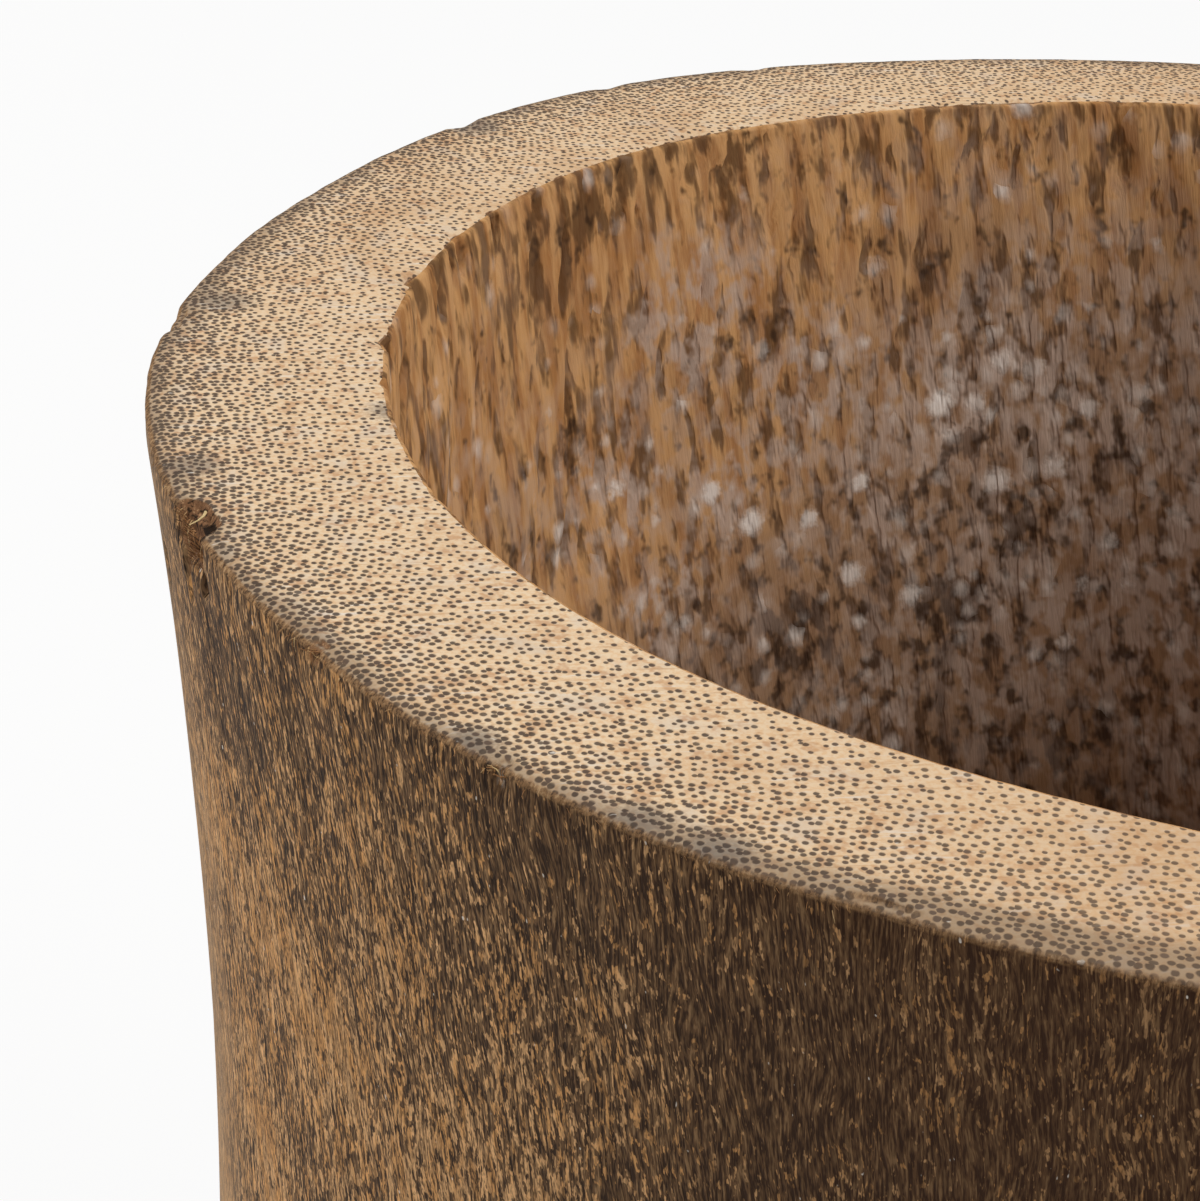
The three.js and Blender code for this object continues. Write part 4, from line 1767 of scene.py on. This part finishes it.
@dataclass
class PegRow:
    """The pegs that hold the floor board, and the holes that they are driven into."""

    timber: Timber
    sides: int = 32
    hole_sides: int = 40
    chamfer: float = 1.0 * MM
    lengths: int = 10
    flats: int = 9
    shaving: float = 0.22 * MM  # depth of the flats that the knife left
    bruised_length: float = 3 * MM
    bruise_size: float = 2.2 * MM
    bruise_depth: float = 0.25 * MM

    def places(self) -> list[Peg]:
        """Read each peg's place from its solid.

        Returns:
            The pegs, in order of their names.
        """
        axis = self.timber.axis
        pegs = []
        for node in sorted(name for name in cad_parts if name.startswith("floor_peg")):
            points = np.array([vertex.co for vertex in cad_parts[node].data.vertices])
            middle = points.mean(axis=0)
            angle = math.atan2(middle[1] - axis.y, middle[0] - axis.x)
            along = (points[:, 0] - axis.x) * math.cos(angle) + (points[:, 1] - axis.y) * math.sin(angle)
            low, high = points[:, 2].min(), points[:, 2].max()
            pegs.append(Peg(node, angle, along.min(), along.max(), (low + high) / 2, (high - low) / 2))
        return pegs

    def lay(self, peg: Peg, reach: float) -> Matrix:
        """Transform that lays something along Z onto a peg's line, starting this far from the axis.

        Args:
            peg: The peg.
            reach: Distance from the axis.

        Returns:
            The transform.
        """
        turn = Matrix.Rotation(peg.angle, 4, "Z")
        place = Matrix.Translation(self.timber.axis + Vector((0, 0, peg.height)))
        return place @ turn @ Matrix.Translation((reach, 0, 0)) @ Matrix.Rotation(math.pi / 2, 4, "Y")

    def drill(self, piece: bpy.types.Object) -> None:
        """Cut the peg holes out of a piece, from their blind ends out through the wall.

        Args:
            piece: The trunk or the board.
        """
        mesh = bmesh.new()
        for peg in self.places():
            start = peg.tip - self.timber.peg_end_clearance
            length = peg.face + self.timber.ledge_width - start
            radius = peg.radius + self.timber.peg_clearance
            bmesh.ops.create_cone(mesh, cap_ends=True, segments=self.hole_sides, radius1=radius,
                                  radius2=radius, depth=length, matrix=self.lay(peg, start + length / 2))
        drill = placed("peg_drill", mesh)
        cut = piece.modifiers.new("peg_holes", "BOOLEAN")
        cut.object = drill
        cut.operation = "DIFFERENCE"
        cut.solver = "EXACT"
        settle(piece)
        bpy.data.objects.remove(drill)

    def shave(self, vertex: bmesh.types.BMVert, number: int, peg: Peg, length: float) -> None:
        """Move one vertex of a round peg onto the knife's flats and into the bruises of its end.

        Args:
            vertex: The vertex, with the peg still upright on its tip.
            number: Number of the peg, from 1.
            peg: Its place.
            length: Its length.
        """
        turn = math.atan2(vertex.co.y, vertex.co.x)
        flats = abs(math.sin(self.flats / 2 * turn + 0.7 * number + 9.0 * vertex.co.z)) ** 0.7
        bruise = noise.noise(vertex.co / self.bruise_size + Vector((number, 0, 0)))
        driven = eased((vertex.co.z - length + self.bruised_length) / self.bruised_length)
        share = 1.0 - self.shaving / peg.radius * (1.0 - flats) - 0.035 * driven * (0.6 + bruise)
        vertex.co.x *= share
        vertex.co.y *= share
        vertex.co.z -= self.bruise_depth * driven * max(0.0, bruise)

    def build_one(self, number: int, peg: Peg, finish: bpy.types.Material) -> bpy.types.Object:
        """Shave one peg.

        Args:
            number: Number of the peg, from 1.
            peg: Its place.
            finish: Its material.

        Returns:
            The peg, with whittled flats, a tapered tip and a bruised driven end.
        """
        length = peg.face - peg.tip
        body = length - 2 * self.chamfer
        end = peg.radius - self.chamfer
        steps = [(0.0, end), (self.chamfer, peg.radius)]
        steps += [(self.chamfer + body * i / self.lengths, peg.radius) for i in range(1, self.lengths + 1)]
        steps += [(length - 0.3 * self.chamfer, peg.radius - 0.45 * self.chamfer)]
        steps += [(length, end), (length, 0.55 * end)]
        mesh = bmesh.new()
        ring = bmesh.ops.create_circle(mesh, cap_ends=True, segments=self.sides, radius=steps[0][1])
        face = ring["verts"][0].link_faces[0]
        for (low, narrow), (high, wide) in zip(steps, steps[1:]):
            grown = bmesh.ops.extrude_discrete_faces(mesh, faces=[face])["faces"][0]
            bmesh.ops.translate(mesh, verts=grown.verts, vec=(0, 0, high - low))
            bmesh.ops.scale(mesh, verts=grown.verts, vec=(wide / narrow, wide / narrow, 1))
            face = grown
        for vertex in mesh.verts:
            self.shave(vertex, number, peg, length)
        bmesh.ops.recalc_face_normals(mesh, faces=mesh.faces)
        bmesh.ops.transform(mesh, matrix=self.lay(peg, peg.tip), verts=mesh.verts)
        for face in mesh.faces:
            face.smooth = True
        made = placed(f"shaved_peg_{number}", mesh)
        made.data.set_sharp_from_angle(angle=CUT_CREASE)
        made.data.materials.append(finish)
        return kept(made, Slot.PEG, peg.node)

    def build(self) -> None:
        """Make and dress every peg."""
        finish = PegFinish(self.timber).material()
        for number, peg in enumerate(self.places(), start=1):
            self.build_one(number, peg, finish)


@dataclass
class FloorBoard:
    """The round board that closes the lower end, with its drain hole."""

    timber: Timber
    sectors: int = 180
    rings: int = 16
    ease: float = 0.4 * MM  # off the upper edge
    cup: float = 0.18 * MM  # how far the faces have moved in with damp
    on_face: float = 0.1 * MM  # from a face to a vertex that counts as on it

    def build(self) -> bpy.types.Object:
        """Turn the board, let it dry uneven, drill it for the pegs and dress it.

        Returns:
            The board.
        """
        low, high = BOARD_BOX
        bottom = low.z
        top = high.z
        rim = (high.x - low.x) / 2
        hole = self.timber.drain_radius
        chamfer = self.timber.floor_chamfer
        span = rim - hole - 2 * chamfer
        reaches = [hole + chamfer + span * i / self.rings for i in range(self.rings + 1)]
        profile = [(reach, bottom) for reach in reaches]
        profile += [(rim - 0.3 * chamfer, bottom + 0.3 * chamfer), (rim, bottom + chamfer)]
        profile += [(rim, (bottom + top) / 2), (rim, top - self.ease), (rim - self.ease, top)]
        profile += [(reach, top) for reach in reversed(reaches)]
        profile += [(hole + 0.3 * chamfer, top - 0.3 * chamfer), (hole, top - chamfer)]
        profile += [(hole, (bottom + top) / 2), (hole, bottom + chamfer)]
        profile += [(hole + 0.3 * chamfer, bottom + 0.3 * chamfer)]
        mesh = lathe(profile, self.sectors)
        for vertex in mesh.verts:
            across = Vector((vertex.co.x * 4, vertex.co.y * 22, vertex.co.z * 22))
            sunk = self.cup * (0.5 + 0.5 * noise.noise(across + Vector((5, 5, 5))))
            if abs(vertex.co.z - bottom) < self.on_face:
                vertex.co.z += sunk
            elif abs(vertex.co.z - top) < self.on_face:
                vertex.co.z -= sunk
            elif math.hypot(vertex.co.x, vertex.co.y) < hole + chamfer:
                worn = 1.0 + 0.02 * (1.0 + noise.noise(vertex.co / (6 * MM)))
                vertex.co.x *= worn
                vertex.co.y *= worn
        bmesh.ops.translate(mesh, verts=mesh.verts, vec=self.timber.axis)
        board = placed("round_floor_board", mesh)
        board.data.materials.append(BoardFinish(self.timber).material())
        PegRow(self.timber).drill(board)
        board.data.set_sharp_from_angle(angle=CUT_CREASE)
        return kept(board, Slot.BOARD, "floor_disc")


@dataclass
class PitchBead:
    """The bead of pitch in the corner between the wall and the floor board."""

    timber: Timber
    width: float = 9.0 * MM
    thin: float = 0.8 * MM
    sectors: int = 360
    steps: int = 10
    lump: float = 0.5 * MM
    lump_size: float = 11 * MM
    run: float = 1 * MM  # how far it may run past its width

    def build(self) -> bpy.types.Object:
        """Run the bead round, follow the waved wall and let it slump.

        Returns:
            The bead.
        """
        timber = self.timber
        low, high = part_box("floor_seal")
        foot = timber.hollow_mean(low.z) - timber.seat_gap
        head = timber.hollow_mean(high.z) - timber.seat_gap
        middle = (low.z + high.z) / 2
        profile = [(foot - self.width, low.z), (foot - self.width / 2, low.z), (foot, low.z)]
        profile += [((foot + head) / 2, middle), (head, high.z)]
        for i in range(self.steps + 1):
            turn = math.pi / 2 * i / self.steps
            reach = foot - self.thin - (self.width - self.thin) * (1 - math.cos(turn))
            profile.append((reach, high.z - (high.z - low.z - self.thin) * math.sin(turn)))
        mesh = lathe(profile, self.sectors)
        for vertex in mesh.verts:
            angle = math.atan2(vertex.co.y, vertex.co.x)
            out = math.hypot(vertex.co.x, vertex.co.y)
            lifted = vertex.co.z > low.z + 0.1 * MM
            free = eased((foot - 0.6 * MM - out) / (2 * MM)) if lifted else 0.0
            slump = self.lump * (noise.noise(vertex.co / self.lump_size) - 0.5) * free
            reach = out + float(timber.offset(timber.hollow_waves, np.array(angle), np.array(vertex.co.z)))
            if free:
                reach = max(reach - slump * 0.6, foot - self.width - self.run)
            vertex.co = polar(angle, reach, max(low.z, vertex.co.z + slump))
        bmesh.ops.translate(mesh, verts=mesh.verts, vec=timber.axis)
        bead = placed("pitch_bead", mesh)
        bead.data.set_sharp_from_angle(angle=WORN_CREASE)
        bead.data.materials.append(PitchFinish(timber).material())
        return kept(bead, Slot.PITCH, "floor_seal")


@dataclass(frozen=True)
class Tuft:
    """A patch of loose fibres on the trunk: middle, spread, number, length and shade."""

    angle: float  # degrees
    drop: float  # below the rim, to the roots
    spread: float
    count: int
    length: float
    shade: float


@dataclass
class LooseFibres:
    """Fibres that stand off the arris where wood has broken out, and one pale splinter.

    Each fibre is made in a small mesh of its own and then added to the whole through the data of
    strand.
    """

    timber: Timber
    thickness: float = 0.16 * MM
    sides: int = 5
    taper: float = 7.0  # width at the root over radius at the tip
    tufts: tuple[Tuft, ...] = (
        Tuft(-144.4, 3.0 * MM, 4.6 * MM, 50, 2.2 * MM, 0.32),
        Tuft(-143.6, 6.5 * MM, 2.0 * MM, 16, 3.6 * MM, 0.45),
        Tuft(-119.0, 1.6 * MM, 1.4 * MM, 8, 1.6 * MM, 0.60),
        Tuft(-131.0, 1.4 * MM, 1.8 * MM, 8, 1.4 * MM, 0.50),
    )
    headroom: float = 0.1 * MM  # left under the top of the rim
    fringe_count: int = 220
    fringe_start: float = -153.0  # degrees
    fringe_end: float = -104.0

    def __post_init__(self) -> None:
        """Make the data that single fibres pass through."""
        self.strand = bpy.data.meshes.new("strand")

    def fibre(self, mesh: bmesh.types.BMesh, root: Vector, tip: Vector, thickness: float, shade: float,
              bend: float = -0.12) -> None:
        """Add one tapered, slightly bent fibre.

        Args:
            mesh: Mesh that takes it, with a vertex layer for shades.
            root: Its thick end, sunk in the wood.
            tip: Its thin end.
            thickness: Width at the root.
            shade: 0 for dark to 1 for straw.
            bend: How far its middle stands off the line between its ends, as a share of its length.
        """
        along = tip - root
        turn = along.to_track_quat("Z", "Y").to_matrix().to_4x4()
        place = Matrix.Translation((root + tip) / 2) @ turn
        single = bmesh.new()
        layer = single.verts.layers.float.new("shade")
        bmesh.ops.create_cone(single, cap_ends=True, segments=self.sides, radius1=thickness / 2,
                              radius2=thickness / self.taper, depth=along.length, matrix=place)
        sides = [edge for edge in single.edges
                 if abs((edge.verts[0].co - edge.verts[1].co).dot(along)) > 0.5 * along.length_squared]
        bmesh.ops.subdivide_edges(single, edges=sides, cuts=2)
        outward = Vector((root.x - self.timber.axis.x, root.y - self.timber.axis.y, 0.0)).normalized()
        if bend > 0.0:
            outward = (outward + Vector((0.0, 0.0, 1.0))).normalized()
        for vertex in single.verts:
            share = (vertex.co - root).dot(along) / along.length_squared
            vertex.co += outward * (bend * along.length * math.sin(math.pi * min(1.0, max(0.0, share))))
            vertex[layer] = shade
        single.to_mesh(self.strand)
        single.free()
        mesh.from_mesh(self.strand)

    def on_wall(self, angle: float, drop: float, sunk: float) -> Vector:
        """Place on the trunk's outside, this far below the rim and this far under the skin.

        Args:
            angle: Angle about the axis, in radians.
            drop: Distance below the rim.
            sunk: Distance under the skin.

        Returns:
            The place.
        """
        timber = self.timber
        height = timber.height - drop
        reach = timber.trunk_mean(height) - sunk
        reach += float(timber.offset(timber.trunk_waves, np.array(angle), np.array(height)))
        return timber.axis + polar(angle, reach, height)

    def fringe(self, mesh: bmesh.types.BMesh) -> None:
        """Lay short fibres over the worn arris, where the saw has bent them down.

        Args:
            mesh: Mesh to add to.
        """
        for i in range(self.fringe_count):
            roll = [0.5 + 0.5 * noise.cell(Vector((5.7 * i + 13.1 * j, 2.3, 0.5))) for j in range(6)]
            angle = math.radians(self.fringe_start + (self.fringe_end - self.fringe_start) * roll[0])
            root = self.on_wall(angle, (0.7 + 0.3 * roll[1]) * MM, (1.1 + 0.6 * roll[2]) * MM)
            aside = (roll[3] - 0.45) * 2.6 * MM / self.timber.rim_radius
            tip = self.on_wall(angle + aside, (1.2 + 2.0 * roll[4] ** 2) * MM, (0.6 + 0.2 * roll[1]) * MM)
            thickness = self.thickness * (0.5 + 0.6 * roll[5])
            self.fibre(mesh, root, tip, thickness, 0.2 + 0.6 * roll[5], 0.18)

    def grow(self, mesh: bmesh.types.BMesh, number: int, tuft: Tuft) -> None:
        """Add the fibres of one tuft.

        Args:
            mesh: Mesh that takes them.
            number: Number of the tuft, which picks its chances.
            tuft: The tuft.
        """
        radius = self.timber.rim_radius
        for i in range(tuft.count):
            roll = [noise.cell(Vector((7.3 * i + j, 3.1 * number, 0.5))) for j in range(5)]
            angle = math.radians(tuft.angle) + roll[0] * tuft.spread / radius
            drop = tuft.drop + 0.4 * tuft.spread * roll[1]
            root = self.on_wall(angle, drop, 1.5 * MM)
            length = tuft.length * (0.7 + 0.3 * roll[2])
            lean = angle + 0.25 * length * roll[3] / radius
            tip = self.on_wall(lean, max(0.3 * MM, drop - length), (0.35 + 0.3 * roll[4]) * MM)
            shade = min(1.0, max(0.0, tuft.shade + 0.3 * roll[4]))
            self.fibre(mesh, root, tip, self.thickness * (1.0 + 0.4 * roll[2]), shade)

    def build(self) -> bpy.types.Object:
        """Make every tuft, the fringe and the splinter as one piece.

        Returns:
            The loose fibres.
        """
        mesh = bmesh.new()
        mesh.verts.layers.float.new("shade")
        for number, tuft in enumerate(self.tufts):
            self.grow(mesh, number, tuft)
        root = self.on_wall(math.radians(-144.8), 0.45 * MM, 3.4 * MM)
        tip = self.on_wall(math.radians(-143.8), 0.55 * MM, 0.9 * MM)
        self.fibre(mesh, root, tip, 2.4 * self.thickness, 1.0)
        self.fringe(mesh)
        bpy.data.meshes.remove(self.strand)
        for vertex in mesh.verts:
            vertex.co.z = min(vertex.co.z, self.timber.height - self.headroom)
        bmesh.ops.recalc_face_normals(mesh, faces=mesh.faces)
        fibres = placed("loose_fibres", mesh)
        fibres.data.materials.append(LooseFibreFinish().material())
        return kept(fibres, Slot.PALM)


def spin(mesh: bmesh.types.BMesh, ring: list[bmesh.types.BMVert], sectors: int) -> None:
    """Close a ring of vertices with edges and turn it once about Z.

    Args:
        mesh: Bmesh that holds the ring.
        ring: Vertices of the ring, in order.
        sectors: Number of steps of the turn.
    """
    edges = [mesh.edges.new(pair) for pair in zip(ring, ring[1:] + ring[:1])]
    bmesh.ops.spin(mesh, geom=ring + edges, cent=(0, 0, 0), axis=(0, 0, 1), dvec=(0, 0, 0),
                   angle=math.tau, steps=sectors, use_merge=True, use_duplicate=False)


def lathe(profile: Sequence[tuple[float, float]], sectors: int) -> bmesh.types.BMesh:
    """Turn a closed profile about Z.

    Args:
        profile: Radius and height of each point, in order round the profile.
        sectors: Number of steps of the turn.

    Returns:
        The smooth-shaded closed mesh, with its faces pointing out.
    """
    mesh = bmesh.new()
    spin(mesh, [mesh.verts.new((radius, 0.0, height)) for radius, height in profile], sectors)
    bmesh.ops.recalc_face_normals(mesh, faces=mesh.faces)
    for face in mesh.faces:
        face.smooth = True
    return mesh


def taken(mesh: bpy.types.Mesh, name: str) -> Array:
    """Take a layer of numbers off a mesh, one for each vertex.

    Args:
        mesh: Mesh that carries the layer.
        name: Name of the layer.

    Returns:
        The numbers, in the order of the vertices.
    """
    values = np.zeros(len(mesh.vertices))
    mesh.attributes[name].data.foreach_get("value", values)
    mesh.attributes.remove(mesh.attributes[name])
    return values


def carry(mesh: bpy.types.Mesh, name: str, values: Array) -> None:
    """Store one number for each vertex on a mesh."""
    mesh.attributes.new(name, "FLOAT", "POINT").data.foreach_set("value", values)


def shown(name: str, data: bpy.types.ID) -> bpy.types.Object:
    """Put a mesh, lamp or camera in the scene as an object at the origin.

    Args:
        name: Name of the object.
        data: What the object holds.

    Returns:
        The new object.
    """
    made = bpy.data.objects.new(name, data)
    bpy.context.scene.collection.objects.link(made)
    return made


def placed(name: str, mesh: bmesh.types.BMesh) -> bpy.types.Object:
    """Turn a bmesh into an object at the origin and free the bmesh.

    Args:
        name: Name of the object and its mesh.
        mesh: Bmesh to turn into it.

    Returns:
        The new object.
    """
    data = bpy.data.meshes.new(name)
    mesh.to_mesh(data)
    mesh.free()
    return shown(name, data)


def settle(piece: bpy.types.Object) -> None:
    """Apply a piece's modifiers to its mesh.

    Args:
        piece: Object with the modifiers.
    """
    view = bpy.context.evaluated_depsgraph_get()
    data = bpy.data.meshes.new_from_object(piece.evaluated_get(view))
    piece.modifiers.clear()
    old = piece.data
    piece.data = data
    bpy.data.meshes.remove(old)


def kept(piece: bpy.types.Object, slot: Slot, *nodes: str) -> bpy.types.Object:
    """Attach a finished piece to the body, hide the CAD nodes that it stands for and log its faces.

    Args:
        piece: The finished piece.
        slot: Material slot of the piece; not used.
        *nodes: CAD nodes that it stands for.

    Returns:
        The piece.
    """
    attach(piece, BODY)
    if nodes:
        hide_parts(*nodes)
    faces = len(piece.data.polygons)
    log.info("%s: %d faces, stands for %s", piece.name, faces, ", ".join(nodes) or "no node")
    return piece


@dataclass(frozen=True)
class Lamp:
    """A square soft box: its place, the side of the square and its power in watts."""

    name: str
    place: Triple
    side: float
    power: float


@dataclass
class Studio:
    """Floor, lamps and camera."""

    timber: Timber
    lamps: tuple[Lamp, ...] = (
        Lamp("left", (-1.88, 0.1, 1.48), 1.3, 26.4),
        Lamp("right", (1.65, -0.15, 1.63), 1.3, 26.9),
    )
    warm: Triple = (1.0, 0.97, 0.93)
    aim: float = 0.8  # share of the pot's height that the lamps point at
    floor_size: float = 6.0
    floor_white: float = 0.88
    floor_glow: float = 0.91  # share of it that glows to the camera
    room_light: float = 0.25
    focal: float = 2999.0  # pixels
    image_width: float = 1200.0  # pixels
    sensor: float = 36.0
    stand: Vector = Vector((0.0, -0.352, 0.4306))  # from the foot of the axis
    pitch: float = math.radians(27.11)
    yaw: float = math.radians(-14.15)
    roll: float = math.radians(2.94)

    def camera(self) -> None:
        """Set the camera up at the photograph's place."""
        ahead = math.cos(self.pitch)
        forward = Vector((math.sin(self.yaw) * ahead, math.cos(self.yaw) * ahead, -math.sin(self.pitch)))
        level = Vector((math.cos(self.yaw), -math.sin(self.yaw), 0.0))
        upward = level.cross(forward)
        right = math.cos(self.roll) * level + math.sin(self.roll) * upward
        up = -math.sin(self.roll) * level + math.cos(self.roll) * upward
        data = bpy.data.cameras.new("camera")
        data.sensor_fit = "HORIZONTAL"
        data.sensor_width = self.sensor
        data.lens = self.sensor * self.focal / self.image_width
        data.clip_start = 0.01
        camera = shown("camera", data)
        turn = Matrix((right, up, -forward)).transposed()
        camera.matrix_world = Matrix.Translation(self.timber.axis + self.stand) @ turn.to_4x4()
        bpy.context.scene.camera = camera

    def hang(self, lamp: Lamp) -> None:
        """Hang one lamp and point it at the pot.

        Args:
            lamp: What it is called, where it hangs, how wide it is and how strong.
        """
        data = bpy.data.lights.new(lamp.name, "AREA")
        data.shape = "SQUARE"
        data.size = lamp.side
        data.energy = lamp.power
        data.color = self.warm
        place = Vector(lamp.place)
        aim = self.timber.axis + Vector((0, 0, self.timber.height * self.aim))
        turn = (place - aim).to_track_quat("Z", "Y").to_matrix()
        shown(lamp.name, data).matrix_world = Matrix.Translation(place) @ turn.to_4x4()

    def floor(self) -> None:
        """Lay a pale floor that shows almost white."""
        mesh = bmesh.new()
        bmesh.ops.create_grid(mesh, x_segments=2, y_segments=2, size=self.floor_size)
        floor = placed("studio_floor", mesh)
        graph = Graph("studio_floor")
        tree = graph.tree
        tree.nodes.remove(graph.shader)
        path = graph.node("LightPath")
        seen = graph.math("MAXIMUM", path.outputs["Is Camera Ray"], path.outputs["Is Glossy Ray"])
        seen = graph.math("MAXIMUM", seen, path.outputs["Is Transmission Ray"])
        white = self.floor_white
        plain = graph.node("BsdfDiffuse", {"Color": (white, white, white, 1.0)})
        glow = graph.node("Emission", {"Color": (1.0, 1.0, 1.0, 1.0), "Strength": 1.0})
        share = seen * self.floor_glow
        both = graph.node("MixShader", {0: share, 1: plain.outputs[0], 2: glow.outputs[0]})
        graph.feed(tree.nodes["Material Output"].inputs["Surface"], both.outputs[0])
        floor.data.materials.append(graph.material)

    def world(self) -> None:
        """Light the room evenly, white to the camera."""
        world = bpy.data.worlds.new("studio")
        world.use_nodes = True
        tree = world.node_tree
        background = tree.nodes["Background"]
        path = tree.nodes.new("ShaderNodeLightPath")
        level = tree.nodes.new("ShaderNodeMapRange")
        level.inputs["To Min"].default_value = self.room_light
        level.inputs["To Max"].default_value = 1.0
        tree.links.new(path.outputs["Is Camera Ray"], level.inputs[0])
        tree.links.new(level.outputs[0], background.inputs["Strength"])
        background.inputs["Color"].default_value = (1.0, 1.0, 1.0, 1.0)
        bpy.context.scene.world = world

    def build(self) -> None:
        """Set up everything that isn't the pot."""
        self.camera()
        self.floor()
        self.world()
        for lamp in self.lamps:
            self.hang(lamp)
        bpy.context.scene.view_settings.view_transform = "Standard"
        log.info("studio is set up")


def main() -> None:
    """Build the studio and the pot."""
    logging.basicConfig(level=logging.INFO, format="%(name)s: %(message)s")
    timber = Timber()
    Studio(timber).build()
    Trunk(timber).build()
    FloorBoard(timber).build()
    PegRow(timber).build()
    PitchBead(timber).build()
    LooseFibres(timber).build()


if __name__ == "__main__":
    main()
